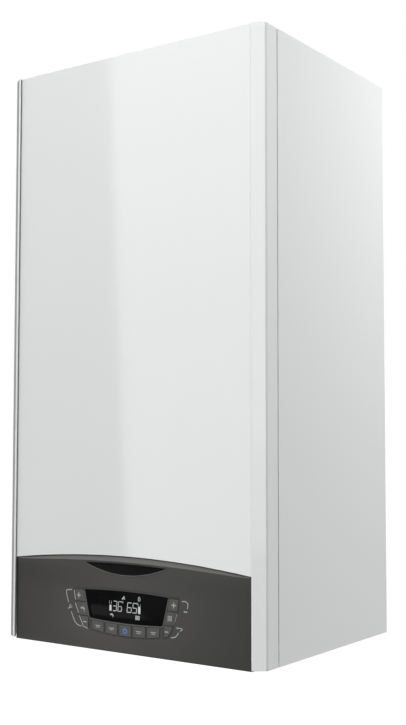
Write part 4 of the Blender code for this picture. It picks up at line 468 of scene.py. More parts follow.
def linked(name: str, data: bpy.types.ID) -> Piece:
    """A new object for a mesh, a lamp or a camera, linked to the scene."""
    made = bpy.data.objects.new(name, data)
    bpy.context.scene.collection.objects.link(made)
    return made


def unfold(points: Array, axis: Axis) -> Array:
    """Points given as two coordinates across an axis and one along it, put in x, y, z order."""
    out = np.empty_like(points)
    for index, place in enumerate(axis.value):
        out[..., place] = points[..., index]
    return out


def smooth(mesh: bpy.types.Mesh, sharp: float) -> None:
    """Shade a mesh smooth, except across edges that turn by more than an angle in degrees."""
    mesh.polygons.foreach_set("use_smooth", np.ones(len(mesh.polygons), bool))
    mesh.set_sharp_from_angle(angle=math.radians(sharp))


def modified(obj: Piece, name: str, kind: str, **settings: object) -> Piece:
    """Give an object a live modifier with the given settings."""
    modifier = obj.modifiers.new(name, kind)
    for key, value in settings.items():
        setattr(modifier, key, value)
    return obj


def bevelled(obj: Piece, width: float, segments: int = 2, angle: float = 35.0) -> Piece:
    """Round every edge that turns by more than an angle, and let large flat faces keep their shading."""
    modified(obj, "rounded_edges", "BEVEL", width=width, segments=segments, limit_method="ANGLE",
             angle_limit=math.radians(angle), harden_normals=False)
    return modified(obj, "flat_faces_first", "WEIGHTED_NORMAL", keep_sharp=True)


def walled(obj: Piece, thickness: float) -> Piece:
    """Give an open skin its wall, inwards from its outer face."""
    return modified(obj, "wall", "SOLIDIFY", thickness=thickness, offset=-1.0, use_even_offset=True)


def refined(node: str, width: float, segments: int = 2) -> Piece:
    """A copy of a CAD node with its triangles merged and its edges rounded.

    Args:
        node: the node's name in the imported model.
        width: size of the rounding.
        segments: faces across the rounding.

    Returns:
        The new object, named after the node.
    """
    mesh = NODES[node].data.copy()
    clean(mesh, 1e-6, True)
    mesh.materials.clear()
    smooth(mesh, 32.0)
    return bevelled(linked(node + "_dressed", mesh), width, segments, 38.0)


# Finishes: node groups give the patterns, and each finish sets them to its own values

class Grain(Enum):
    """Kinds of surface pattern, each with its own node group."""

    PEEL = "orange_peel"
    MOULDED = "moulded_grain"
    POLISHED = "polished_skin"
    BRUSHED = "brushed_lines"
    SPANGLE = "zinc_spangle"
    CAST = "cast_skin"
    FIBRE = "pressed_fibre"
    RUBBER = "rubber_skin"
    TRACKS = "board_tracks"
    DRAWN = "drawn_tube"


class Graph:
    """One node tree, with short ways to add nodes and to join them."""

    def __init__(self, tree: bpy.types.NodeTree) -> None:
        """Keep the tree that nodes are added to."""
        self.tree = tree

    def add(self, kind: str, values: dict[str | int, object] | None = None,
            **settings: object) -> bpy.types.Node:
        """Add a node.

        Args:
            kind: the node's type name.
            values: what its inputs take, by name or number.
            **settings: the node's own properties.

        Returns:
            The new node.
        """
        made = self.tree.nodes.new(kind)
        for name, value in settings.items():
            setattr(made, name, value)
        return self.feed(made, values or {})

    def feed(self, node: bpy.types.Node, values: dict[str | int, object]) -> bpy.types.Node:
        """Give a node's inputs their values; an output socket among them is linked."""
        for name, value in values.items():
            if isinstance(value, Socket):
                self.tree.links.new(value, node.inputs[name])
            else:
                node.inputs[name].default_value = value
        return node

    def maths(self, operation: str, first: Socket | float, second: Socket | float = 0.0) -> Socket:
        """Add a Math node on two sockets or numbers and return its output."""
        return self.add("ShaderNodeMath", {0: first, 1: second}, operation=operation).outputs[0]

    def spread(self, value: Socket, low: float, high: float, to_low: float = 0.0,
               to_high: float = 1.0) -> Socket:
        """Add a Map Range node with smooth ends and return its output."""
        values = {"Value": value, "From Min": low, "From Max": high, "To Min": to_low, "To Max": to_high}
        return self.add("ShaderNodeMapRange", values, interpolation_type="SMOOTHSTEP").outputs["Result"]

    def noise(self, place: Socket, scale: Socket | float, detail: float = 2.0,
              rough: float = 0.5) -> Socket:
        """Add a Noise Texture and return its factor."""
        values = {"Vector": place, "Scale": scale, "Detail": detail, "Roughness": rough}
        return self.add("ShaderNodeTexNoise", values).outputs["Fac"]

    def stretched(self, place: Socket, scale: Triple) -> Socket:
        """Scale a vector along its axes."""
        return self.add("ShaderNodeMapping", {"Vector": place, "Scale": scale}).outputs["Vector"]

    def mix(self, mask: Socket, one: Socket | Colour, two: Socket | Colour) -> Socket:
        """Mix two colours, or colour sockets, by a mask and return the colour."""
        one, two = (value if isinstance(value, Socket) else (*value, 1.0) for value in (one, two))
        return self.add("ShaderNodeMix", {0: mask, 6: one, 7: two}, data_type="RGBA").outputs[2]

    def seen(self) -> Socket:
        """1 for rays from the camera, from gloss and through glass, and 0 for the light on faces."""
        path = self.add("ShaderNodeLightPath").outputs
        direct = self.maths("MAXIMUM", path["Is Camera Ray"], path["Is Glossy Ray"])
        return self.maths("MAXIMUM", direct, path["Is Transmission Ray"])


def new_group(name: str, inputs: dict[str, str], outputs: Sequence[str]) -> Graph:
    """A new node group with its input sockets, given by name and kind, and its outputs of numbers."""
    tree = bpy.data.node_groups.new(name, "ShaderNodeTree")
    for socket, kind in inputs.items():
        tree.interface.new_socket(socket, in_out="INPUT", socket_type="NodeSocket" + kind)
    for socket in outputs:
        tree.interface.new_socket(socket, in_out="OUTPUT", socket_type="NodeSocketFloat")
    return Graph(tree)


def pattern(grain: Grain) -> bpy.types.NodeTree:
    """The node group of one grain, made the first time that it is asked for.

    Every group takes a place and the size of its features in metres, and gives a Height for a Bump node and
    a Mask, both from 0 to 1.

    Args:
        grain: which pattern.

    Returns:
        The node group.
    """
    if grain.value in bpy.data.node_groups:
        return bpy.data.node_groups[grain.value]
    graph = new_group(grain.value, {"Place": "Vector", "Size": "Float"}, ("Height", "Mask"))
    source = graph.add("NodeGroupInput").outputs
    often = graph.maths("DIVIDE", 1.0, source["Size"])
    height, mask = RECIPES[grain](graph, source["Place"], often)
    graph.add("NodeGroupOutput", {"Height": height, "Mask": mask})
    return graph.tree


def peel(graph: Graph, place: Socket, often: Socket) -> Sockets:
    """Sprayed paint: soft ripples over the slow waves of rolled sheet."""
    ripple = graph.noise(place, often, 1.0)
    wave = graph.noise(place, graph.maths("MULTIPLY", often, 0.06), 1.0)
    return graph.maths("ADD", ripple, graph.maths("MULTIPLY", wave, 3.0)), graph.noise(place, 5.0, 3.0)


def moulded(graph: Graph, place: Socket, often: Socket) -> Sockets:
    """Moulded plastic: the fine etched grain of its tool, with a slow change of sheen."""
    cells = graph.add("ShaderNodeTexVoronoi", {"Vector": place, "Scale": often}, feature="SMOOTH_F1")
    fine = graph.noise(place, often, 3.0, 0.6)
    return graph.maths("ADD", cells.outputs["Distance"], fine), graph.noise(place, 22.0, 4.0)


def polished(graph: Graph, place: Socket, often: Socket) -> Sockets:
    """Polished plastic or glass: almost flat, with faint wiping smears."""
    smear = graph.noise(graph.stretched(place, (9.0, 9.0, 30.0)), 4.0, 4.0)
    return graph.noise(place, often, 1.0), graph.spread(smear, 0.42, 0.72)


def brushed(graph: Graph, place: Socket, often: Socket) -> Sockets:
    """Brushed metal: noise drawn out along X."""
    lines = graph.noise(graph.stretched(place, (0.02, 1.0, 1.0)), often, 3.0, 0.7)
    return lines, graph.spread(lines, 0.35, 0.65)


def spangle(graph: Graph, place: Socket, often: Socket) -> Sockets:
    """Zinc: flat crystals of different tone under a fine rolling grain."""
    cells = graph.add("ShaderNodeTexVoronoi", {"Vector": place, "Scale": often}, feature="F1")
    split = graph.add("ShaderNodeSeparateColor", {"Color": cells.outputs["Color"]})
    fine = graph.noise(graph.stretched(place, (1.0, 1.0, 0.1)), 1400.0, 2.0)
    return graph.maths("ADD", fine, cells.outputs["Distance"]), split.outputs["Red"]


def cast(graph: Graph, place: Socket, often: Socket) -> Sockets:
    """Cast metal: the sand's skin in two sizes, darker in its hollows."""
    coarse = graph.noise(place, often, 5.0, 0.65)
    fine = graph.noise(place, graph.maths("MULTIPLY", often, 4.0), 2.0)
    return graph.maths("ADD", coarse, graph.maths("MULTIPLY", fine, 0.4)), graph.spread(coarse, 0.35, 0.65)


def fibre(graph: Graph, place: Socket, often: Socket) -> Sockets:
    """Felt or foam: crossed fibres, from noise drawn out along two directions."""
    one = graph.noise(graph.stretched(place, (0.15, 1.0, 1.0)), often, 4.0, 0.7)
    two = graph.noise(graph.stretched(place, (1.0, 1.0, 0.15)), often, 4.0, 0.7)
    both = graph.maths("MAXIMUM", one, two)
    return both, graph.spread(both, 0.45, 0.7)


def rubber(graph: Graph, place: Socket, often: Socket) -> Sockets:
    """Rubber: a dull bloom over fine pits."""
    return graph.noise(place, often, 3.0, 0.6), graph.spread(graph.noise(place, 40.0, 4.0), 0.4, 0.7)


def tracks(graph: Graph, place: Socket, often: Socket) -> Sockets:
    """Circuit board: copper tracks under the varnish, as the steps of a coarse cell pattern."""
    cells = graph.add("ShaderNodeTexVoronoi", {"Vector": place, "Scale": often}, feature="F1",
                      distance="CHEBYCHEV")
    rings = graph.maths("SINE", graph.maths("MULTIPLY", cells.outputs["Distance"], 60.0))
    mask = graph.spread(rings, 0.1, 0.3)
    return mask, mask


def drawn(graph: Graph, place: Socket, often: Socket) -> Sockets:
    """Drawn tube: fine lines and clouds of tarnish."""
    lines = graph.noise(place, often, 4.0, 0.7)
    return lines, graph.spread(graph.noise(place, 35.0, 5.0, 0.6), 0.35, 0.7)


RECIPES: dict[Grain, Callable[[Graph, Socket, Socket], Sockets]] = {
    Grain.PEEL: peel, Grain.MOULDED: moulded, Grain.POLISHED: polished, Grain.BRUSHED: brushed,
    Grain.SPANGLE: spangle, Grain.CAST: cast, Grain.FIBRE: fibre, Grain.RUBBER: rubber,
    Grain.TRACKS: tracks, Grain.DRAWN: drawn}


def settled_dust() -> bpy.types.NodeTree:
    """The node group of dust: a Mask that is strongest on faces that look upwards, broken by noise."""
    if "settled_dust" in bpy.data.node_groups:
        return bpy.data.node_groups["settled_dust"]
    graph = new_group("settled_dust", {"Place": "Vector", "Amount": "Float"}, ("Mask",))
    source = graph.add("NodeGroupInput").outputs
    normal = graph.add("ShaderNodeNewGeometry").outputs["Normal"]
    upward = graph.spread(graph.add("ShaderNodeSeparateXYZ", {"Vector": normal}).outputs["Z"], 0.3, 1.0)
    broken = graph.spread(graph.noise(source["Place"], 60.0, 5.0, 0.65), 0.3, 0.7)
    settled = graph.maths("MULTIPLY", upward, broken)
    graph.add("NodeGroupOutput", {"Mask": graph.maths("MULTIPLY", settled, source["Amount"])})
    return graph.tree


@dataclass(frozen=True)
class Finish:
    """One finish: its colours, its gloss and the grain that breaks both up.

    Attributes:
        name: the material's name.
        slot: the record's material slot that it belongs to; not used.
        colour: base colour where the grain's mask is 0.
        other: base colour where the mask is 1.
        roughness: roughness at mask 0 and at mask 1.
        metallic: 0 for paint and plastic, 1 for bare metal.
        grain: the pattern.
        size: size of the grain's features.
        depth: height of the grain's bumps.
        coat: weight of a clear coat.
        dust: how much dust shows on upward faces.
        glow: strength of the finish's own light.
        specular: strength of its plain reflections, 0.5 for most paints and plastics.
    """

    name: str
    slot: str
    colour: Colour
    other: Colour
    roughness: Pair = (0.4, 0.5)
    metallic: float = 0.0
    grain: Grain = Grain.MOULDED
    size: float = 0.0008
    depth: float = 0.00002
    coat: float = 0.0
    dust: float = 0.0
    glow: float = 0.0
    specular: float = 0.5

    def material(self) -> bpy.types.Material:
        """The finish's material, made the first time that it is asked for."""
        if self.name in bpy.data.materials:
            return bpy.data.materials[self.name]
        material = bpy.data.materials.new(self.name)
        material.use_nodes = True
        material.node_tree.nodes.clear()
        graph = Graph(material.node_tree)
        place = graph.add("ShaderNodeTexCoord").outputs["Object"]
        texture = graph.add("ShaderNodeGroup", {"Place": place, "Size": self.size},
                            node_tree=pattern(self.grain)).outputs
        tone = graph.mix(texture["Mask"], self.colour, self.other)
        rough = graph.spread(texture["Mask"], 0.0, 1.0, *self.roughness)
        if self.dust:
            settled = graph.add("ShaderNodeGroup", {"Place": place, "Amount": self.dust},
                                node_tree=settled_dust()).outputs["Mask"]
            tone = graph.mix(settled, tone, DUST_TONE)
            rough = graph.maths("MAXIMUM", rough, graph.spread(settled, 0.0, 1.0, 0.0, 0.9))
        bump = graph.add("ShaderNodeBump", {"Distance": self.depth, "Strength": 1.0,
                                            "Height": texture["Height"]})
        values = {"Base Color": tone, "Roughness": rough, "Metallic": self.metallic,
                  "Coat Weight": self.coat, "Coat Roughness": COAT_ROUGHNESS,
                  "Specular IOR Level": self.specular, "Normal": bump.outputs["Normal"]}
        if self.glow:
            values |= {"Emission Color": tone, "Emission Strength": self.glow}
        shader = graph.add("ShaderNodeBsdfPrincipled", values)
        graph.add("ShaderNodeOutputMaterial", {"Surface": shader.outputs[0]})
        return material


DUST_TONE = (0.42, 0.4, 0.37)
COAT_ROUGHNESS = 0.06
ENAMEL = Finish("stove_enamel", "enamel", (0.86, 0.868, 0.868), (0.845, 0.855, 0.858), (0.055, 0.08), 0.0,
                Grain.PEEL, 0.0028, 0.000006, coat=0.6, dust=0.1)
# Brighter enamel on the crest beads and the hems: a painted highlight along these edges, not a different
# paint
PAINTED_HIGHLIGHT_WHITE = Finish("enamel_painted_highlight", "enamel", (0.955, 0.96, 0.96), (0.94, 0.948, 0.95), (0.08, 0.12), 0.0,
                   Grain.PEEL, 0.0028, 0.000003, coat=0.6, dust=0.05)
ZINC = Finish("galvanised_sheet", "zinc", (0.5, 0.51, 0.52), (0.64, 0.65, 0.66), (0.3, 0.46), 1.0,
              Grain.SPANGLE, 0.009, 0.000004, dust=0.25)
GASKET_FOAM = Finish("sealing_foam", "foam", (0.03, 0.03, 0.031), (0.06, 0.06, 0.06), (0.8, 0.95), 0.0,
                     Grain.RUBBER, 0.0009, 0.00015)
VESSEL_RED = Finish("vessel_enamel", "red_enamel", (0.5, 0.03, 0.022), (0.4, 0.022, 0.018), (0.22, 0.34),
                    0.0, Grain.PEEL, 0.0022, 0.00002, coat=0.4, dust=0.45)
STAINLESS = Finish("satin_stainless", "stainless", (0.66, 0.65, 0.63), (0.54, 0.53, 0.51), (0.22, 0.36), 1.0,
                   Grain.BRUSHED, 0.0006, 0.000006, dust=0.15)
COMPOSITE = Finish("black_composite", "composite", (0.03, 0.03, 0.032), (0.05, 0.05, 0.053), (0.42, 0.58),
                   size=0.0008, depth=0.00006, dust=0.35)
CAST = Finish("cast_aluminium", "cast", (0.56, 0.57, 0.58), (0.42, 0.43, 0.44), (0.42, 0.6), 0.9, Grain.CAST,
              0.0022, 0.0001, dust=0.2)
CERAMIC = Finish("glazed_ceramic", "ceramic", (0.82, 0.81, 0.78), (0.74, 0.72, 0.66), (0.08, 0.18), 0.0,
                 Grain.POLISHED, 0.004, 0.00001, coat=0.5)
FLUE_WHITE = Finish("flue_plastic", "flue_white", (0.74, 0.75, 0.76), (0.66, 0.67, 0.68), (0.34, 0.46),
                    size=0.0011, depth=0.00003, dust=0.35)
LACQUER = Finish("motor_lacquer", "motor_grey", (0.075, 0.08, 0.086), (0.11, 0.115, 0.12), (0.3, 0.45), 0.0,
                 Grain.PEEL, 0.0012, 0.00004, dust=0.3)
COPPER = Finish("drawn_copper", "copper", (0.78, 0.4, 0.26), (0.42, 0.2, 0.12), (0.22, 0.42), 1.0,
                Grain.DRAWN, 0.0012, 0.000012, dust=0.15)
BRASS = Finish("turned_brass", "brass", (0.7, 0.54, 0.26), (0.5, 0.37, 0.17), (0.2, 0.38), 1.0, Grain.DRAWN,
               0.001, 0.00001, dust=0.1)
NYLON = Finish("filled_nylon", "nylon", (0.04, 0.04, 0.043), (0.07, 0.07, 0.074), (0.46, 0.62), size=0.001,
               depth=0.00007, dust=0.35)
HOSE = Finish("hose_rubber", "hose_rubber", (0.15, 0.15, 0.158), (0.21, 0.208, 0.205), (0.55, 0.75), 0.0,
              Grain.RUBBER, 0.0008, 0.00004, dust=0.3)
SIGNAL_RED = Finish("relief_red", "signal_red", (0.56, 0.022, 0.02), (0.44, 0.018, 0.016), (0.32, 0.46),
                    size=0.0007, depth=0.00004)
SIGNAL_BLUE = Finish("filling_blue", "signal_blue", (0.03, 0.1, 0.4), (0.022, 0.075, 0.32), (0.32, 0.46),
                     size=0.0007, depth=0.00004)
TRAP_WHITE = Finish("trap_plastic", "trap_white", (0.7, 0.72, 0.72), (0.62, 0.63, 0.62), (0.3, 0.44),
                    size=0.0012, depth=0.00003, dust=0.3)
CHARCOAL = Finish("charcoal_fascia", "charcoal", (0.024, 0.0232, 0.0218), (0.0275, 0.0266, 0.025),
                  (0.3, 0.38), size=0.0006, depth=0.000012, specular=0.3)
# Dark grey for thin plates in the corner profiles' steps: painted shade, standing in for the shadow there
PAINTED_SHADE_GREY = Finish("painted_shade_strip", "foam", (0.165, 0.168, 0.172), (0.195, 0.198, 0.202), (0.55, 0.7), 0.0,
                    Grain.RUBBER, 0.0009, 0.00003, specular=0.25)
# Lighter charcoal for the band on the fascia's lip: a painted sheen where the lip faces up to the light
LIP_PAINTED_SHEEN = Finish("lip_painted_sheen", "charcoal", (0.12, 0.118, 0.114), (0.135, 0.133, 0.129), (0.28, 0.36), 0.0,
                   Grain.BRUSHED, 0.0008, 0.000006)
TRIM_SATIN = Finish("window_trim", "charcoal", (0.088, 0.086, 0.083), (0.1, 0.098, 0.095), (0.26, 0.34),
                    size=0.0006, depth=0.000006)
BOX_GREY = Finish("box_plastic", "box_grey", (0.115, 0.118, 0.122), (0.15, 0.153, 0.157), (0.48, 0.62),
                  size=0.001, depth=0.00006, dust=0.3)
GLOSS_BLACK = Finish("gloss_window", "gloss_black", (0.0042, 0.0044, 0.005), (0.0062, 0.0064, 0.0072),
                     (0.05, 0.1), 0.0, Grain.POLISHED, 0.006, 0.000004, specular=0.012)
BADGE = Finish("badge_enamel", "gloss_black", (0.0068, 0.0068, 0.0073), (0.0088, 0.0088, 0.0094),
               (0.18, 0.26), 0.0, Grain.POLISHED, 0.005, 0.000005, specular=0.02)
RIM = Finish("satin_rim", "charcoal", (0.095, 0.094, 0.092), (0.125, 0.123, 0.12), (0.28, 0.36), 0.5,
             Grain.BRUSHED, 0.0006, 0.000005)
KEY_GREY = Finish("key_plastic", "key_grey", (0.03, 0.0292, 0.0278), (0.036, 0.035, 0.033), (0.36, 0.46),
                  size=0.0005, depth=0.000015)
LAMINATE = Finish("board_laminate", "laminate", (0.02, 0.125, 0.06), (0.045, 0.215, 0.095), (0.24, 0.34),
                  0.0, Grain.TRACKS, 0.012, 0.00003)
PAD_FELT = Finish("pad_fibre", "felt", (0.52, 0.5, 0.46), (0.38, 0.36, 0.33), (0.85, 0.95), 0.0, Grain.FIBRE,
                  0.0009, 0.0003)
PRINT = Finish("printed_ink", "charcoal", (0.47, 0.47, 0.46), (0.41, 0.41, 0.4), (0.42, 0.55), size=0.0006,
               depth=0.000008)
SEGMENT = Finish("lit_segment", "gloss_black", (0.54, 0.56, 0.57), (0.47, 0.49, 0.5), (0.3, 0.4), 0.0,
                 Grain.POLISHED, 0.003, 0.000004, glow=0.18)
POWER_BLUE = Finish("power_blue", "key_grey", (0.045, 0.16, 0.5), (0.06, 0.2, 0.58), (0.3, 0.42), 0.0,
                    Grain.POLISHED, 0.002, 0.000004, glow=0.25)


@dataclass
class Assembly:
    """What every sub-assembly shares: the casing's sizes and the way that a piece is dressed."""

    casing: Casing
    body: str = "boiler"

    def dress(self, piece: Piece, finish: Finish, *nodes: str, body: str = "") -> Piece:
        """Give a piece its finish and tie it to its body.

        Args:
            piece: the mesh object.
            finish: what it is finished with.
            *nodes: CAD nodes that it stands for.
            body: the body that it moves with, if it isn't the assembly's own.

        Returns:
            The piece.
        """
        piece.data.materials.clear()
        piece.data.materials.append(finish.material())
        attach(piece, body or self.body)
        if nodes:
            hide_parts(*nodes)
        LOG.info("%s: %s on %s, %d faces", piece.name, finish.name, body or self.body,
                 len(piece.data.polygons))
        return piece

    def keep(self, finish: Finish, *nodes: str, width: float = 0.0004, segments: int = 2,
             body: str = "") -> None:
        """Stand rounded copies of CAD nodes in their place, all under one finish."""
        for node in nodes:
            self.dress(refined(node, width, segments), finish, node, body=body)


# The white sheet casing

@dataclass
class FrontCasing(Assembly):
    """The lift-off front: recessed plate, two corner profiles, side returns and a closed top."""

    body: str = "front_casing"
    shoulder_radius: float = 0.0022
    plate_columns: int = 93
    rows: int = 40
    edge_radius: float = 0.0004
    seam: float = 0.0014
    bead: float = 0.0014
    hem: float = 0.0007

    @property
    def crest(self) -> tuple[Array, Array]:
        """Centre of the right crest's bead, and the point where the chamfer meets it as a tangent."""
        case = self.casing
        centre = np.array([case.flank_x + self.bead, case.crest_y + self.bead])
        reach = np.array([case.half, case.shoulder_y]) - centre
        turn = math.atan2(reach[1], reach[0]) - math.acos(self.bead / float(np.hypot(*reach)))
        return centre, centre + self.bead * np.array([math.cos(turn), math.sin(turn)])

    def section(self) -> Array:
        """Half outline of the corner profile, from the rear of the side return to the plate, as (x, y).

        The crest is a circle's arc, centre + bead (cos a, sin a), from the chamfer to the step.
        """
        case = self.casing
        centre, touch = self.crest
        start = math.atan2(*(touch - centre)[::-1])
        a = np.linspace(start, -math.pi, 13)[:, None]
        bead = centre + self.bead * np.hstack([np.cos(a), np.sin(a)])
        side = fillet([(case.half, case.seam_y - self.seam), (case.half, case.shoulder_y), touch],
                      self.shoulder_radius, 5)
        return np.vstack([side[:-1], bead, [(case.flank_x, case.plate_y)]])

    def skin(self) -> Piece:
        """The outer skin as one surface over (along the section, up the height), closed at the top."""
        case = self.casing
        right = self.section()
        left = right * np.array([-1.0, 1.0])
        plate_x = np.linspace(-case.flank_x, case.flank_x, self.plate_columns)[1:-1]
        plate = np.stack([plate_x, np.full(len(plate_x), case.plate_y)], 1)
        across = np.vstack([left, plate, right[::-1]])
        edge = float(case.arch(case.flank_x))
        start = np.full(len(across), edge)
        inner = slice(len(left), len(left) + len(plate))
        start[inner] = case.arch(plate_x)
        t = np.linspace(0.0, 1.0, self.rows)[:, None]
        height = start + (case.height - start) * t
        flat = np.broadcast_to(across, (self.rows, *across.shape))
        shape = Surface().grid(np.dstack([flat, height]))
        low = np.linspace(0.0, edge, 8)[:, None]
        for side in (left, right):
            spread = np.broadcast_to(side, (len(low), *side.shape))
            shape.grid(np.dstack([spread, np.broadcast_to(low, spread.shape[:2])]))
        rear = np.array([(case.flank_x, case.seam_y - self.seam)])
        middle = np.vstack([left[-1:], plate, right[-1:], rear, rear * np.array([-1.0, 1.0])])
        for loop in (np.vstack([left, rear * np.array([-1.0, 1.0])]), middle, np.vstack([right, rear])):
            shape.flat([loop], case.height, Axis.Z)
        return shape.build("front_casing_skin", 30.0)

    def hems(self) -> Piece:
        """Rounded hems, as tubes: the side returns' rear edges and the arched lower edge; they take the
        brighter enamel, a painted highlight.
        """
        case, shape = self.casing, Surface()
        height = np.linspace(0.0006, case.height - 0.0004, 24)
        rear = case.seam_y - self.seam - 0.5 * self.hem
        for side in (-1.0, 1.0):
            path = np.stack([np.full(24, side * (case.half - 0.9 * self.hem)), np.full(24, rear), height], 1)
            shape.tube(path, self.hem, 20)
        x = np.linspace(-case.flank_x + 0.0002, case.flank_x - 0.0002, 121)
        low = np.stack([x, np.full(121, case.plate_y + 0.8 * self.hem), case.arch(x) + self.hem], 1)
        return shape.tube(low, self.hem, 20).build("front_casing_hems", 50.0)

    def flank_shade_strips(self) -> Piece:
        """Thin dark grey plates in the steps between the corner profiles and the front plate: painted shade
        for the step's shadow.
        """
        case, shape = self.casing, Surface()
        z = (0.001, case.height - 0.0012)
        for side in (-1.0, 1.0):
            x = sorted((side * case.flank_x, side * (case.flank_x - 0.00035)))
            shape.slab(rectangle((x[0], x[1]), z), case.crest_y + self.bead, case.plate_y + 0.0002)
        return shape.build("flank_shade_strips")

    def make(self) -> None:
        """Build the skin, turn its wall inwards and round its edges."""
        skin = bevelled(walled(self.skin(), self.casing.sheet), self.edge_radius, 3, 30.0)
        self.dress(skin, ENAMEL, "front_casing")
        skin.data.materials.append(PAINTED_HIGHLIGHT_WHITE.material())
        # The crest's bead faces take the brighter enamel: a painted highlight along each crest
        centre, touch = self.crest
        for face in skin.data.polygons:
            x, y, _ = face.center
            face.material_index = int(self.casing.flank_x - 1e-6 < abs(x) < touch[0] and y < centre[1])
        self.dress(self.hems(), PAINTED_HIGHLIGHT_WHITE)
        self.dress(self.flank_shade_strips(), PAINTED_SHADE_GREY)


@dataclass
class SheetBody(Assembly):
    """The fixed sheets behind the front: sides, top, bottom plate, rear frame, bracket and seal."""

    fold_radius: float = 0.0006

    def make(self) -> None:
        """Dress the fixed sheets."""
        self.keep(ENAMEL, "left_side_panel", "right_side_panel", "top_panel", width=self.fold_radius,
                  segments=3)
        self.keep(ZINC, "bottom_plate", "rear_frame", "wall_bracket", "exchanger_bracket")
        self.keep(GASKET_FOAM, "casing_gasket", width=0.0007, segments=3)


# The control panel

@dataclass(frozen=True)
class PanelShape:
    """Outlines of the control panel, shared by its fascia, window, tray and keys."""

    front_y: float = -0.3116
    glass_y: float = -0.312
    tray_y: float = -0.31157
    raised_y: float = -0.3118
    half: float = 0.1834
    foot: float = -0.0018
    arch_gap: float = 0.0004
    tray_sides: tuple[Pair, ...] = (
        (0.0726, 0.0823), (0.0565, 0.0805), (0.0405, 0.0752), (0.03, 0.0703), (0.0255, 0.0665),
        (0.0226, 0.0605))
    tray_crown: float = 0.0755
    keel: Pair = (0.0176, 0.005)
    tray_corner: float = 0.0012
    lens_top: Triple = (0.065, 0.0727, -0.0019)
    lens_foot: Triple = (0.0566, 0.035, 0.002)
    lens_corner: float = 0.0016

    def lens(self, grow: float = 0.0) -> Array:
        """The window's outline: a crowned top over sides that draw in to a shallower, crowned foot.

        Top 0.0727 - 0.0019 (x/0.0650)^2, foot 0.0350 + 0.0020 (x/0.0566)^2.
        """
        ring = np.vstack([crowned(*self.lens_top, 41, 1.0), crowned(*self.lens_foot, 41)])
        return offset(anticlockwise(softened(ring, self.lens_corner)), grow)

    def tray(self, grow: float = 0.0) -> Array:
        """The tray's outline: a crowned top, drawn-in sides and a keel 0.0176 + 0.0050 (x/0.0605)^2."""
        side = np.array(self.tray_sides)
        top = crowned(side[0, 1], self.tray_crown, side[0, 0] - self.tray_crown, 41, 1.0)
        keel = crowned(side[-1, 1], *self.keel, 31)
        inner = side[1:-1, ::-1]
        ring = np.vstack([top, inner * (-1.0, 1.0), keel, inner[::-1]])
        return offset(anticlockwise(softened(ring, self.tray_corner)), grow)

    def lens_edge(self, z: Array) -> Array:
        """Half width of the window at a height, between (0.0708, 0.0644) and (0.0370, 0.0560)."""
        return np.interp(z, [0.037, 0.0708], [0.056, 0.0644])

    def tray_edge(self, z: Array) -> Array:
        """Half width of the tray at a height."""
        side = np.array(self.tray_sides)[::-1]
        return np.interp(z, side[:, 0], side[:, 1])


def softened(outline: Array, radius: float) -> Array:
    """Round only the corners of a closed outline that turn by more than 20 degrees.

    Args:
        outline: closed outline, one row per point.
        radius: distance from a corner to where its curve starts.

    Returns:
        The outline with its corners rounded.
    """
    ahead = np.roll(outline, -1, 0) - outline
    back = np.roll(ahead, 1, 0)
    cosine = np.sum(ahead * back, axis=1)
    cosine /= np.maximum(np.linalg.norm(ahead, axis=1) * np.linalg.norm(back, axis=1), 1e-15)
    turn = cosine < math.cos(math.radians(20.0))
    length = np.concatenate([[0.0], np.cumsum(np.linalg.norm(ahead, axis=1))])
    total = length[-1]
    ring = np.vstack([outline, outline[:1]])
    t = np.linspace(0.0, 1.0, 6)[:, None]
    pieces: list[Array] = []
    for index, corner in enumerate(outline):
        if turn[index]:
            start, end = (np.array([np.interp((length[index] + step) % total, length, ring[:, k])
                                    for k in (0, 1)]) for step in (-radius, radius))
            pieces.append(bend(start, corner, end, t))
            continue
        near = np.abs((length[index] - length[:-1][turn] + total / 2) % total - total / 2)
        if near.size == 0 or near.min() > radius:
            pieces.append(outline[index:index + 1])
    return np.vstack(pieces)


@dataclass
class PanelAssembly(Assembly):
    """What the control panel's sub-assemblies share: their body and the panel's outlines."""

    body: str = "control_panel"
    shape: PanelShape = PanelShape()


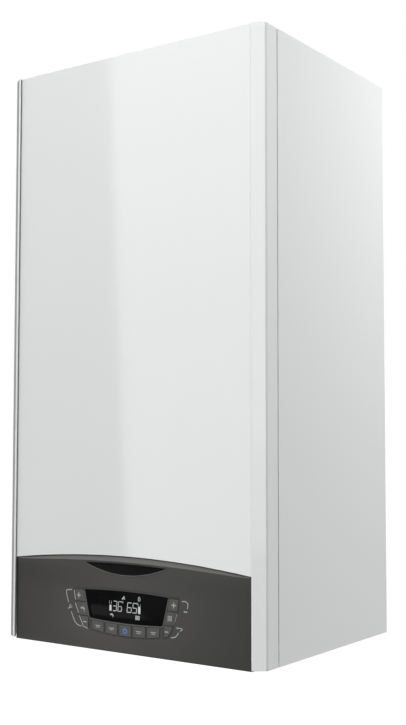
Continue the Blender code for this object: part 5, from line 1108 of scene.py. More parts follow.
@dataclass
class Fascia(PanelAssembly):
    """The charcoal front of the control panel, with its sloped top lip and its tray opening."""

    rear_y: float = -0.2958
    thickness: float = 0.003
    wall: float = 0.0025
    lip_fall: float = 0.0068
    lip_slope: float = 0.0028
    lip_least: float = 0.00068
    lip_full: float = 0.003
    edge_radius: float = 0.0005
    badge_half: float = 0.065
    badge_foot: Pair = (0.0925, 0.0127)
    badge_top: Pair = (0.1065, -0.0015)
    badge_y: Pair = (-0.31305, -0.3119)

    def outline(self) -> Array:
        """Outer outline: a straight foot, upright sides and a top that follows the casing's arch."""
        half, foot = self.shape.half, self.shape.foot
        top_x = np.linspace(half, -half, 121)
        top = np.stack([top_x, self.casing.arch(top_x) - self.shape.arch_gap], 1)
        side = np.linspace(0.0, 1.0, 14)[1:-1]
        left = upright(-half, top[-1, 1] + (foot - top[-1, 1]) * side)
        right = upright(half, foot + (top[0, 1] - foot) * side)
        return anticlockwise(np.vstack([top, left, crowned(half, foot, 0.0, 61), right]))

    def shell(self) -> Piece:
        """The fascia as rings over (round the outline, from the rear rim over the front to the tray).

        On the top edge the rings climb the lip: (top - fall t, y + slope (1 - t)), where the fall is
        0.0068 sqrt(1 - (x/half)^2). Elsewhere they follow a quarter circle.
        """
        ring = self.outline()
        top = ring[:, 1] > self.casing.arch(ring[:, 0]) - self.shape.arch_gap - 0.0002
        share = np.sqrt(np.clip(1 - (ring[:, 0] / self.shape.half) ** 2, 0.0, 1.0))
        fall = np.where(top, np.maximum(self.lip_fall * share, self.lip_least), 0.0)
        slope = np.where(top, self.lip_slope * np.minimum(1.0, fall / self.lip_full), 0.0)
        front, back = self.shape.front_y, self.shape.front_y + self.thickness
        rows = [at_level(ring, self.rear_y)]
        for t in np.linspace(0.0, 1.0, 6):
            turn = t * math.pi / 2
            moved = offset(ring, self.edge_radius * (math.cos(turn) - 1))
            place = np.where(top[:, None], ring - np.outer(fall * t, (0.0, 1.0)), moved)
            level = front + np.where(top, slope * (1 - t), self.edge_radius * (1 - math.sin(turn)))
            rows.append(np.column_stack([place, level]))
        inner, hole = offset(ring, -self.wall), self.shape.tray()
        inside = [at_level(inner, back), at_level(inner, self.rear_y)]
        bevel = offset(hole, 0.0001)
        edge = [at_level(bevel, front), at_level(hole, front + 0.0001), at_level(hole, back)]
        body = Surface()
        for rings in (rows, inside, [inside[1], rows[0]], edge):
            body.grid(unfold(np.stack(rings), Axis.Y), closed=True)
        body.flat([rows[-1][:, :2], bevel], front, Axis.Y)
        return body.flat([inner, hole], back, Axis.Y).build("fascia_shell", 24.0)

    def lip_sheen_band(self) -> Piece:
        """A thin band laid on the lip, lighter than the fascia: a painted sheen where the upward-facing lip
        catches the light. It follows the lip's own slope over (along the top, down the fall).
        """
        x = np.linspace(-0.985, 0.985, 161)[None, :] * self.shape.half
        t = np.linspace(0.03, 1.0, 7)[:, None]
        fall = self.lip_fall * np.sqrt(1 - (x / self.shape.half) ** 2)
        slope = self.lip_slope * np.minimum(1.0, fall / self.lip_full)
        z = self.casing.arch(x) - self.shape.arch_gap - fall * t
        y = self.shape.front_y + slope * (1 - t) - 0.00012
        band = Surface().grid(np.stack([x + 0.0 * t, y, z], -1)).build("lip_sheen_band", 60.0)
        return walled(band, 0.0002)

    def badge(self) -> Piece:
        """The bare badge: a plate between two parabolas, with a rounded face."""
        low = crowned(self.badge_half, *self.badge_foot, 61)
        high = crowned(self.badge_half, *self.badge_top, 61, 1.0)
        ring = anticlockwise(np.vstack([low, high[1:-1]]))
        return Surface().slab(ring, *self.badge_y, round_low=0.0005, steps=4).build("badge_face")

    def badge_rim(self) -> Piece:
        """The bright line along the badge's lower edge, as a bead on a parabola."""
        path = np.insert(crowned(self.badge_half - 0.0005, 0.0928, 0.0125, 61), 1, -0.31285, axis=1)
        return Surface().tube(path, 0.00034, 10).build("badge_bead")

    def make(self) -> None:
        """Build the fascia and the bare badge."""
        self.dress(self.shell(), CHARCOAL, "fascia")
        self.dress(self.lip_sheen_band(), LIP_PAINTED_SHEEN)
        self.dress(self.badge(), BADGE, "badge_plate")
        self.dress(self.badge_rim(), RIM)


class Side(Enum):
    """Left and right half of the keypad."""

    LEFT = -1
    RIGHT = 1


@dataclass
class Keypad(PanelAssembly):
    """The tray, the window and the nine keys, each on its own body."""

    tray_thickness: float = 0.0035
    window_rim: float = 0.0022
    slot_gap: float = 0.0003
    plus_z: Pair = (0.056, 0.0704)
    minus_z: Pair = (0.0238, 0.038)
    lens_margin: float = 0.0028
    tray_margin: float = 0.0012
    least_x: float = 0.0551
    key_depth: float = 0.003
    stem_radius: float = 0.002
    stem_length: float = 0.0088
    row_width: float = 0.0206
    row_gap: float = 0.0012
    row_start: float = -0.0539
    row_inset: float = 0.0007
    cap_rim: float = 0.0006
    cap_dish: float = 0.0003

    def column_key(self, side: Side, low: float, high: float, grow: float = 0.0) -> Array:
        """Outline of a plus or minus key, between the window's rim and the tray's edge."""
        z = np.linspace(low, high, 13)
        inner = np.maximum(self.shape.lens_edge(z) + self.lens_margin, self.least_x)
        outer = self.shape.tray_edge(z) - self.tray_margin
        ring = np.vstack([np.stack([inner, z], 1), np.stack([outer, z], 1)[::-1]])
        ring = ring * np.array([side.value, 1.0])
        return offset(anticlockwise(softened(anticlockwise(ring), 0.0011)), grow)

    def row_key(self, number: int, grow: float = 0.0) -> Array:
        """Outline of one of the five lower keys, from the left: sides that lean in, curved foot and top.

        Foot 0.0190 + 1.366 x^2, top 0.0328 + 0.0020 (x/0.0560)^2; the foot's x is 0.985 of the top's.
        """
        start = self.row_start + number * (self.row_width + self.row_gap) + self.row_inset
        x = np.linspace(start, start + self.row_width - 2 * self.row_inset, 15)
        foot = np.stack([x * 0.985, 0.019 + 1.366 * x ** 2], 1)
        top = np.stack([x, 0.0328 + 0.002 * (x / 0.056) ** 2], 1)[::-1]
        return offset(anticlockwise(softened(anticlockwise(np.vstack([foot, top])), 0.0016)), grow)

    def outlines(self, grow: float = 0.0) -> dict[str, Array]:
        """Outline of every key by its node's name."""
        found = {f"key_{side.name.lower()}_{sign}": self.column_key(side, *span, grow)
                 for sign, span in (("plus", self.plus_z), ("minus", self.minus_z)) for side in Side}
        names = ("key_row_1", "key_row_2", "key_power", "key_row_4", "key_row_5")
        return found | {name: self.row_key(number, grow) for number, name in enumerate(names)}

    def key(self, name: str, outline: Array) -> Piece:
        """One key: a slightly dished cap with a rounded rim, on a round stem.

        The dish is a row of rings drawn in towards the middle, each a little deeper: 0.0003 (1 - s^2).
        """
        front, centre = self.shape.glass_y, outline.mean(axis=0)
        foot = front + self.key_depth
        rings = [at_level(outline, foot)]
        for t in np.linspace(0.0, math.pi / 2, 5):
            rings.append(at_level(offset(outline, self.cap_rim * (math.cos(t) - 1)),
                                  front + self.cap_rim * (1 - math.sin(t))))
        edge = rings[-1][:, :2]
        for s in (0.8, 0.55, 0.3, 0.0):
            rings.append(at_level(centre + (edge - centre) * s, front + self.cap_dish * (1 - s ** 2)))
        body = Surface().grid(unfold(np.stack(rings), Axis.Y), closed=True)
        body.flat([outline], foot, Axis.Y)
        radius, tip = self.stem_radius, foot + self.stem_length
        stem = [(0.0, foot - 0.0004), (radius, foot - 0.0004), (radius, tip - 0.0005), (radius - 0.0005, tip),
                (0.0, tip)]
        return body.lathe(stem, Axis.Y, (centre[0], centre[1]), 24).build(name + "_cap", 40.0)

    def tray(self) -> Piece:
        """The tray under the keys: a plate with a slot for the window and one for each key."""
        holes = [self.shape.lens(self.slot_gap)] + list(self.outlines(self.slot_gap).values())
        front = self.shape.tray_y
        plate = Surface().slab(self.shape.tray(-0.0001), front, front + self.tray_thickness,
                               round_low=0.0001, holes=holes, steps=2)
        return plate.build("keypad_tray")

    def rim(self) -> Piece:
        """The raised rim round the window, a ring with a rounded crest."""
        outer, inner = self.shape.lens(self.window_rim), self.shape.lens(self.slot_gap)
        ring = Surface().slab(outer, self.shape.raised_y, self.shape.tray_y + 0.0003, round_low=0.0005,
                              holes=[inner], steps=4)
        return ring.build("window_rim")

    def trim(self) -> Piece:
        """The pale bead along the window's sides and foot: a tube along its outline, open at the top."""
        ring = self.shape.lens(0.0011)
        half, middle, rise = self.shape.lens_top
        crown = middle + rise * (ring[:, 0] / half) ** 2
        low = ring[:, 1] < crown - 0.001
        start = int(np.argmax(low & ~np.roll(low, 1)))
        run = np.roll(ring, -start, 0)[:int(low.sum())]
        path = np.insert(run, 1, self.shape.raised_y + 0.0003, axis=1)
        return Surface().tube(dense(path, 0.001), 0.0007, 16).build("window_trim", 60.0)

    def window(self) -> Piece:
        """The gloss window with its rounded rim."""
        pane = Surface().slab(self.shape.lens(), self.shape.glass_y, -0.31, round_low=0.0006, steps=5)
        return pane.build("window_glass")

    def make(self) -> None:
        """Build the tray, its rim, the window and the keys."""
        self.dress(self.tray(), CHARCOAL, "key_frame")
        self.dress(self.rim(), CHARCOAL)
        self.dress(self.trim(), TRIM_SATIN)
        self.dress(self.window(), GLOSS_BLACK, "display_lens")
        for name, outline in self.outlines().items():
            self.dress(self.key(name, outline), KEY_GREY, name, body=name)


def stroke(path: Array, width: float) -> Array:
    """Outline of a line of even width along a path: the path moved to both sides and joined.

    Args:
        path: points of the line's middle.
        width: the line's width.

    Returns:
        A closed outline.
    """
    along = unit(np.gradient(np.asarray(path, float), axis=0))
    out = np.stack([-along[:, 1], along[:, 0]], 1) * width / 2
    return np.vstack([path + out, (path - out)[::-1]])


def arc(centre: Pair, radius: float, start: float, end: float, count: int = 24) -> Array:
    """Points of a circle's arc between two angles in degrees."""
    a = np.radians(np.linspace(start, end, count))
    return np.stack([centre[0] + radius * np.cos(a), centre[1] + radius * np.sin(a)], 1)


@dataclass
class Markings(PanelAssembly):
    """Printed lines, key symbols and the window's lit figures, each a thin raised print.

    Places are millimetres across and up the panel's face.
    """

    ink: float = 0.00008
    line: float = 0.0011
    slant: float = 0.1

    def printed(self, name: str, outlines: Sequence[Array], level: float, finish: Finish = PRINT,
                body: str = "") -> None:
        """Raise outlines given in millimetres as thin plates on a face at a level, and dress them."""
        found = Surface()
        for outline in outlines:
            found.slab(anticlockwise(np.asarray(outline, float) / 1000.0), level - self.ink, level + self.ink)
        self.dress(found.build(name), finish, body=body)

    def curve(self, points: Sequence[Pair], radius: float = 2.0, width: float = 0.0) -> Array:
        """A printed line through points in millimetres, with rounded corners."""
        path = fillet(points, radius, 6) if len(points) > 2 else np.asarray(points, float)
        return stroke(path, width or self.line * 1000.0)

    def bar(self, x: float, z: float, wide: float, tall: float) -> Array:
        """A small rounded bar round a centre."""
        return rectangle((x - wide / 2, x + wide / 2), (z - tall / 2, z + tall / 2), min(wide, tall) / 4, 3)

    def fascia_lines(self) -> list[Array]:
        """The printed lines that lead round the keypad, and the small signs beside them."""
        left = [[(-82.9, 68.3), (-80.7, 56.7)], [(-80.8, 52.9), (-75.4, 40.8)],
                [(-74.2, 37.5), (-70.0, 30.0), (-66.7, 24.6), (-60.0, 22.9)]]
        outer = [[(-87.1, 68.9), (-95.0, 68.1), (-96.4, 66.7), (-95.4, 61.7), (-92.3, 52.5)],
                 [(-87.7, 41.2), (-85.0, 35.8), (-82.0, 30.0), (-78.3, 26.7), (-74.2, 25.0), (-70.0, 25.0)]]
        right = [[(78.3, 52.9), (73.3, 40.4)],
                 [(85.4, 68.6), (91.2, 69.0), (94.6, 66.2), (93.5, 60.4)],
                 [(78.8, 36.9), (85.4, 37.1), (86.7, 35.8), (82.9, 33.8)],
                 [(80.8, 31.7), (78.8, 28.8), (75.8, 25.8), (69.2, 24.8)]]
        found = [self.curve(points, 1.6) for points in left + outer + right]
        found.append(np.array([(76.6, 36.9), (79.6, 35.4), (79.6, 38.4)]))
        return found + [self.bar(90.8, 56.9, 5.0, 1.4)] + self.spanner()

    def spanner(self) -> list[Array]:
        """A small generic spanner: an open jaw on a slanted handle."""
        jaw = stroke(arc((-88.4, 48.2), 1.7, 80.0, 370.0), 1.1)
        handle = stroke(np.array([(-92.6, 44.8), (-89.6, 47.2)]), 1.5)
        return [jaw, handle]

    def plus(self, x: float, z: float) -> list[Array]:
        """A plus sign of two crossed bars, cut as one outline."""
        a, b = 3.3, 0.65
        return [np.array([(x + p, z + q) for p, q in (
            (-a, -b), (-b, -b), (-b, -a), (b, -a), (b, -b), (a, -b), (a, b), (b, b), (b, a), (-b, a), (-b, b),
            (-a, b))])]

    def tap(self, x: float, z: float, size: float) -> list[Array]:
        """A small tap: a body with a spout turned down, a handle and a drop."""
        body = [(-1.0, -0.1), (0.25, -0.1), (0.45, -0.3), (0.45, -0.6), (0.85, -0.6), (0.85, -0.1),
                (0.55, 0.35), (-1.0, 0.35)]
        handle = [(-0.45, 0.5), (0.25, 0.5), (0.25, 0.72), (-0.45, 0.72)]
        drop = [(0.52, -0.8), (0.78, -0.8), (0.78, -1.02), (0.52, -1.02)]
        return [np.array(part) * size / 2 + np.array([x, z]) for part in (body, handle, drop)]

    def radiator(self, x: float, z: float, wide: float, tall: float) -> list[Array]:
        """A small radiator: four columns between two rails, which stay clear of them."""
        columns = [self.bar(x + wide * k / 4, z, wide * 0.13, tall * 0.62) for k in (-1.5, -0.5, 0.5, 1.5)]
        return columns + [self.bar(x, z + side * tall * 0.44, wide, tall * 0.13) for side in (-1, 1)]

    def flame(self, x: float, z: float, size: float) -> list[Array]:
        """A small flame: r = size/2 (0.72 + 0.42 max(sin a, 0)^5), narrowed to 0.72 across."""
        a = np.linspace(0.0, math.tau, 40, endpoint=False)
        reach = size / 2 * (0.72 + 0.42 * np.maximum(np.sin(a), 0.0) ** 5)
        return [np.stack([x + reach * np.cos(a) * 0.72, z + reach * np.sin(a)], 1)]

    def digit(self, figure: str, x: float, z: float, wide: float, tall: float) -> list[Array]:
        """A slanted seven-part figure, each part a bar with pointed ends.

        Args:
            figure: the number from 0 to 9.
            x: its left edge.
            z: its foot.
            wide: its width.
            tall: its height.

        Returns:
            One outline for each lit part.
        """
        lit = {"3": "abcdg", "5": "acdfg", "6": "acdefg"}[figure]
        t = wide * 0.128
        h, w, low, high = tall / 2, wide, t / 2, tall - t / 2
        runs = {"a": ((t, high), (w - t, high)), "g": ((t, h), (w - t, h)), "d": ((t, low), (w - t, low)),
                "f": ((low, h + t * 0.6), (low, tall - t)),
                "b": ((w - low, h + t * 0.6), (w - low, tall - t)),
                "e": ((low, t), (low, h - t * 0.6)), "c": ((w - low, t), (w - low, h - t * 0.6))}
        found = []
        for part in lit:
            start, end = (np.array(point) for point in runs[part])
            along = unit(end - start)
            out = np.array([-along[1], along[0]]) * t / 2
            tip = along * t * 0.35
            ring = np.array([start - tip, start - out, end - out, end + tip, end + out, start + out])
            found.append(ring @ np.array([(1.0, 0.0), (self.slant, 1.0)]) + (x, z))
        return found

    def figures(self) -> list[Array]:
        """Everything lit in the window: two readings, two level bars and four small signs."""
        found = []
        for figure, x, wide in (("3", -19.9, 6.3), ("6", -12.0, 6.4), ("6", 2.3, 7.4), ("5", 10.9, 6.9)):
            found += self.digit(figure, x, 48.3, wide, 12.5)
        found += [self.bar(-23.2, 51.8, 3.4, 7.0), self.bar(21.9, 52.6, 3.5, 8.8)]
        found += self.hollow(-23.2, 58.3, 3.4, 4.6) + self.hollow(21.9, 58.6, 3.5, 2.6)
        found += [stroke(arc(place, 0.9, 20.0, 340.0), 0.5) for place in ((-3.9, 60.0), (19.2, 60.2))]
        flame = self.flame(21.7, 65.4, 5.2)[0]
        found += [stroke(np.vstack([flame, flame[:1]]), 0.75),
                  stroke(np.array([(-4.6, 63.6), (-1.2, 67.4)]), 1.3),
                  stroke(np.array([(-2.2, 64.6), (-0.2, 64.2)]), 1.0)]
        return found + self.tap(-20.8, 43.3, 5.4) + self.radiator(19.2, 43.3, 7.0, 4.6)

    def hollow(self, x: float, z: float, wide: float, tall: float) -> list[Array]:
        """The unlit end of a level bar: two thin uprights."""
        return [self.bar(x + side * (wide / 2 - 0.2), z, 0.4, tall) for side in (-1, 1)]

    def signs(self) -> dict[str, list[Array]]:
        """The sign on each key, by the key's body."""
        found = {"key_left_plus": self.plus(-75.2, 63.0), "key_right_plus": self.plus(73.6, 63.0),
                 "key_left_minus": [self.bar(-64.6, 30.8, 6.0, 1.3)],
                 "key_right_minus": [self.bar(62.6, 30.8, 6.0, 1.3)]}
        for key, x, z, first, second in ((1, -43.4, 28.2, 8.0, 5.4), (2, -21.6, 27.0, 8.6, 5.0),
                                         (4, 21.0, 27.0, 8.6, 6.0), (5, 43.0, 28.2, 8.0, 5.4)):
            found[f"key_row_{key}"] = [self.bar(x, z, first, 0.9), self.bar(x, z - 2.0, second, 0.9)]
        return found

    def make(self) -> None:
        """Print the fascia's lines, the tiles' signs, the keys' signs and the lit figures."""
        shape = self.shape
        self.printed("fascia_lines", self.fascia_lines(), shape.front_y)
        tiles = self.tap(-68.3, 47.0, 7.4) + self.radiator(67.9, 47.1, 6.6, 5.6)
        self.printed("tile_signs", tiles, shape.raised_y)
        for body, outlines in self.signs().items():
            self.printed(body + "_sign", outlines, shape.glass_y + 0.0002, body=body)
        ring = [stroke(arc((-0.4, 25.6), 2.9, 125.0, 415.0, 40), 1.1), self.bar(-0.4, 27.9, 1.1, 3.4)]
        self.printed("key_power_sign", ring, shape.glass_y + 0.00022, POWER_BLUE, "key_power")
        self.printed("window_figures", self.figures(), shape.glass_y, SEGMENT)


# The tiles beside the window, raised with its rim

@dataclass
class Tiles(PanelAssembly):
    """Two raised tiles beside the window that carry the heating and hot-water signs."""

    low: float = 0.0392
    high: float = 0.0548

    def make(self) -> None:
        """Build both tiles as low plates with rounded rims."""
        pad = Keypad(self.casing, shape=self.shape)
        body = Surface()
        for side in Side:
            outline = pad.column_key(side, self.low, self.high)
            body.slab(outline, self.shape.raised_y, self.shape.tray_y + 0.0003, round_low=0.0004)
        self.dress(body.build("sign_tiles"), KEY_GREY)


# Shapes that several inner pieces share

def nut(body: Surface, axis: Axis, centre: Pair, low: float, high: float, across: float,
        bore: float) -> None:
    """Add a hexagon nut with turned-down corners to a surface.

    Its reach at an angle is half its width over cos of the angle from the nearest flat's middle.

    Args:
        body: the surface that takes it in.
        axis: the direction of its bore.
        centre: its place across the axis.
        low: one end along the axis.
        high: the other end.
        across: its width across the flats.
        bore: radius of its bore.
    """
    flat, corner = across / 2, across / 2 / math.cos(math.pi / 6)
    slope = 0.22 * (corner - flat) + 0.0004
    ring = np.array([(flat * 0.96, low), (corner, low + slope), (corner, high - slope), (flat * 0.96, high),
                     (bore, high), (bore, low)])
    turn = turned(ring, 72)
    angle = np.linspace(0.0, math.tau, 72, endpoint=False)[None, :]
    limit = flat / np.cos(angle % (math.pi / 3) - math.pi / 6) / ring[:, :1]
    turn[..., :2] *= np.where(ring[:, :1] > bore * 1.001, np.minimum(1.0, limit), 1.0)[..., None]
    turn[..., :2] += centre
    body.grid(unfold(turn, axis), closed=True, ring=True)


def screw(body: Surface, axis: Axis, centre: Pair, seat: float, outward: float,
          radius: float = 0.0042) -> None:
    """Add a pan-head screw to a surface: a dome r sqrt(1 - 0.98 s^2) with a recess, on a washer.

    Args:
        body: the surface that takes it in.
        axis: the direction it is driven along.
        centre: its place across the axis.
        seat: the face that it sits on.
        outward: 1 or -1, the way its head stands out.
        radius: radius of the head.
    """
    s = np.linspace(0.0, 1.0, 6)
    washer = [(radius * 1.35, 0.0), (radius * 1.35, 0.0006), (radius * 1.02, 0.0008)]
    dome = [(radius * math.sqrt(max(0.0, 1 - t * t * 0.98)), 0.001 + 0.0018 * t) for t in s]
    recess = [(radius * 0.3, 0.0027), (radius * 0.22, 0.0016), (0.0, 0.0014)]
    profile = np.array([(0.0, 0.0)] + washer + dome[:-1] + recess)
    profile[:, 1] = seat + outward * profile[:, 1]
    body.lathe(profile, axis, centre, 20)


# The inner sub-assemblies

@dataclass
class PanelBox(PanelAssembly):
    """The box behind the fascia and its control board."""

    def parts(self) -> Piece:
        """Relays, a transformer and capacitors on the board's rear, with a row of edge connectors."""
        rear = -0.2939
        found = Surface()
        for x in (-0.08, -0.056, -0.032):
            found.block((x, x + 0.018), (rear, rear + 0.0135), (0.046, 0.074), 0.001)
        found.block((0.03, 0.078), (rear, rear + 0.024), (0.036, 0.074), 0.002)
        for x in (-0.002, 0.014):
            can = [(0.0, rear), (0.006, rear), (0.006, rear + 0.015), (0.005, rear + 0.016),
                   (0.0, rear + 0.0157)]
            found.lathe(can, Axis.Y, (x, 0.06), 32)
        for k in range(6):
            x = -0.085 + 0.028 * k
            found.block((x, x + 0.022), (rear, rear + 0.0095), (0.018, 0.028), 0.0008)
        return found.build("board_parts")

    def make(self) -> None:
        """Dress the box and the board."""
        self.keep(BOX_GREY, "control_box", width=0.0006)
        self.keep(LAMINATE, "main_board", width=0.0002)
        self.dress(self.parts(), NYLON)


@dataclass
class Flue(Assembly):
    """Inner flue pipe and the coaxial connection on the top."""

    centre_y: float = -0.15
    pipe_radius: float = 0.031
    pipe_wall: float = 0.002
    pipe_foot: float = 0.6203
    collar_radius: float = 0.052
    collar_wall: float = 0.003
    collar_height: float = 0.038
    flange_radius: float = 0.066
    flange: float = 0.004
    port_radius: float = 0.006
    port_height: float = 0.016

    @property
    def centre(self) -> Pair:
        """Where the flue's axis stands."""
        return 0.0, self.centre_y

    @property
    def seat(self) -> float:
        """Height of the flange's underside, on the top sheet."""
        return self.casing.height + self.casing.gap

    @property
    def socket_top(self) -> float:
        """Height of the inner pipe's upper end."""
        return self.casing.height + self.collar_height - 0.002

    @property
    def middle_radius(self) -> float:
        """Halfway from the sleeve to the flange's rim."""
        return (self.collar_radius + self.flange_radius) / 2

    def spigot(self) -> Piece:
        """The inner pipe: a plain run that swells into a socket with a seal groove, turned about Z."""
        inner, outer = self.pipe_radius - self.pipe_wall, self.pipe_radius
        top, swell = self.socket_top, self.pipe_wall + 0.0015
        wide, bore = outer + swell, inner + swell
        out = [(inner, self.pipe_foot), (outer - 0.0006, self.pipe_foot), (outer, self.pipe_foot + 0.0012),
               (outer, top - 0.034), (wide, top - 0.03), (wide, top - 0.0008), (wide - 0.0008, top)]
        groove = [(bore, top), (bore, top - 0.006), (bore + 0.0016, top - 0.0075),
                  (bore + 0.0016, top - 0.0115), (bore, top - 0.013), (bore, top - 0.029),
                  (inner, top - 0.033)]
        profile = fillet(out + groove, 0.0007, 3)
        return Surface().lathe(profile, Axis.Z, self.centre, 96, closed=True).build("flue_inner_pipe")

    def seal(self) -> Piece:
        """The lip seal in the socket's groove: a ring of small round section."""
        radius, level = self.pipe_radius + 0.0022, self.socket_top - 0.0095
        ring = Surface().hoop(Axis.Z, self.centre, radius, level, 0.0018, 16, 96)
        return ring.build("flue_lip_seal")

    def collar(self) -> Piece:
        """The outer collar: a flange that fills out into a ribbed sleeve, turned about Z."""
        top, seat, radius = self.casing.height + self.collar_height, self.seat, self.collar_radius
        low = radius - 0.0009
        inner = radius - self.collar_wall
        ribs = [(radius, seat + 0.012), (low, seat + 0.013), (low, seat + 0.015), (radius, seat + 0.016),
                (radius, top - 0.01), (low, top - 0.009), (low, top - 0.007), (radius, top - 0.006)]
        out = [(inner, seat), (self.flange_radius, seat), (self.flange_radius, seat + self.flange),
               (radius, seat + self.flange + 0.002)] + ribs + [(radius, top), (inner, top)]
        profile = fillet(out, 0.0008, 3)
        return Surface().lathe(profile, Axis.Z, self.centre, 120, closed=True).build("flue_outer_collar")

    def caps(self) -> Piece:
        """The caps of the two test ports, ribbed round by r (1 + 0.05 cos 18a)."""
        foot, high, radius = self.seat + 0.002, self.seat + self.port_height, self.port_radius * 0.94
        cap = [(0.0, foot), (radius, foot), (radius, high - 0.0012), (self.port_radius * 0.8, high),
               (0.0, high)]
        body = Surface()
        for place in around(self.centre, self.middle_radius * 0.995, (215.0, 325.0)):
            body.lathe(cap, Axis.Z, place, 72, lambda a, z: 1.0 + 0.05 * np.cos(18 * a))
        return body.build("flue_test_caps")

    def screws(self) -> Piece:
        """Four screws that hold the flange on the top sheet."""
        body = Surface()
        for place in around(self.centre, self.middle_radius, (65.0, 115.0, 245.0, 295.0)):
            screw(body, Axis.Z, place, self.seat + self.flange, 1.0, 0.0034)
        return body.build("flue_flange_screws")

    def make(self) -> None:
        """Build the pipe, its seal, the collar, its caps and its screws."""
        self.dress(self.spigot(), FLUE_WHITE, "flue_spigot")
        self.dress(self.seal(), GASKET_FOAM)
        self.dress(self.collar(), FLUE_WHITE, "flue_collar")
        self.dress(self.caps(), FLUE_WHITE)
        self.dress(self.screws(), ZINC)


@dataclass
class HeatCell(Assembly):
    """Condensing heat exchanger with its burner, door and igniter."""

    centre: Pair = (-0.035, 0.505)
    front_y: float = -0.2499
    rear_y: float = -0.1069
    radius: float = 0.1
    wall: float = 0.004
    rim: float = 0.008
    coil_turns: int = 6
    coil_pitch: float = 0.014
    coil_radial: float = 0.022
    coil_axial: float = 0.008
    coil_power: float = 0.72
    burner_radius: float = 0.032
    burner_length: float = 0.098
    door_y: float = -0.2562

    def coil(self) -> Piece:
        """The flattened stainless tube as one helix.

        (along, round) -> centre + (R + a cos v) at angle u, depth front + pitch u / tau + b sin v, where a
        and b are half the tube's radial and axial widths, and cos v and sin v are raised to the power 0.72.
        """
        radius = (self.radius - self.wall) * math.cos(math.pi / 32) - 0.0003 - 0.5 * self.coil_radial
        length = self.rear_y - self.front_y
        front = self.front_y + 0.5 * (length - self.wall - self.coil_turns * self.coil_pitch)
        u = np.linspace(0.0, math.tau * self.coil_turns, 72 * self.coil_turns + 1)[:, None]
        v = np.linspace(0.0, math.tau, 16, endpoint=False)[None, :]
        across, depth = (np.sign(turn) * np.abs(turn) ** self.coil_power * width for turn, width in (
            (np.cos(v), self.coil_radial * 0.48), (np.sin(v), self.coil_axial * 0.42)))
        reach = radius + across + 0.0 * u
        grid = np.stack([self.centre[0] + reach * np.cos(u), front + self.coil_pitch * u / math.tau + depth,
                         self.centre[1] + reach * np.sin(u)], -1)
        body = Surface().grid(grid, closed=True)
        for ring in (grid[0], grid[-1]):
            middle = np.repeat(ring.mean(axis=0)[None], len(ring), 0)
            body.grid(np.stack([ring, middle]), closed=True)
        return body.build("coil_tube")

    def burner(self) -> Piece:
        """The burner: a cup whose wall carries rows of ports, r (1 + 0.010 cos 36a cos(tau y / 0.006))."""
        mouth, tip, radius = self.front_y, self.front_y + self.burner_length, self.burner_radius
        profile = np.vstack([
            [(0.045, mouth + 0.0003), (0.045, mouth + 0.003)],
            upright(radius, np.linspace(mouth, tip - 0.006, 60))[4:],
            [(radius - 0.004, tip), (0.0, tip), (0.0, tip - 0.0012), (radius - 0.006, tip - 0.0012),
             (radius - 0.0016, tip - 0.008), (radius - 0.0016, mouth + 0.0003)]])
        ports = within(mouth + 0.01, tip - 0.012,
                       lambda a, y: 1.0 + 0.01 * np.cos(36 * a) * np.cos(math.tau * y / 0.006))
        return Surface().lathe(profile, Axis.Y, self.centre, 144, ports, closed=True).build("burner_can")

    def nuts(self) -> Piece:
        """Six nuts on studs round the door's rim."""
        body = Surface()
        seat = self.door_y
        stud = [(0.0, seat - 0.0085), (0.0022, seat - 0.0082), (0.0026, seat - 0.0075), (0.0026, seat),
                (0.0, seat)]
        for place in around(self.centre, self.radius + self.rim - 0.0065, range(75, 435, 60)):
            nut(body, Axis.Y, place, seat - 0.005, seat - 0.0002, 0.01, 0.0026)
            body.lathe(stud, Axis.Y, place, 20)
        return body.build("door_nuts")

    def make(self) -> None:
        """Build and dress the heat exchanger's pieces."""
        self.keep(COMPOSITE, "exchanger_shell", width=0.0008)
        self.dress(self.coil(), STAINLESS, "exchanger_coil")
        self.keep(CAST, "burner_door", width=0.001)
        self.dress(self.burner(), STAINLESS, "burner")
        self.dress(self.nuts(), ZINC)
        self.keep(CERAMIC, "ignition_electrode")


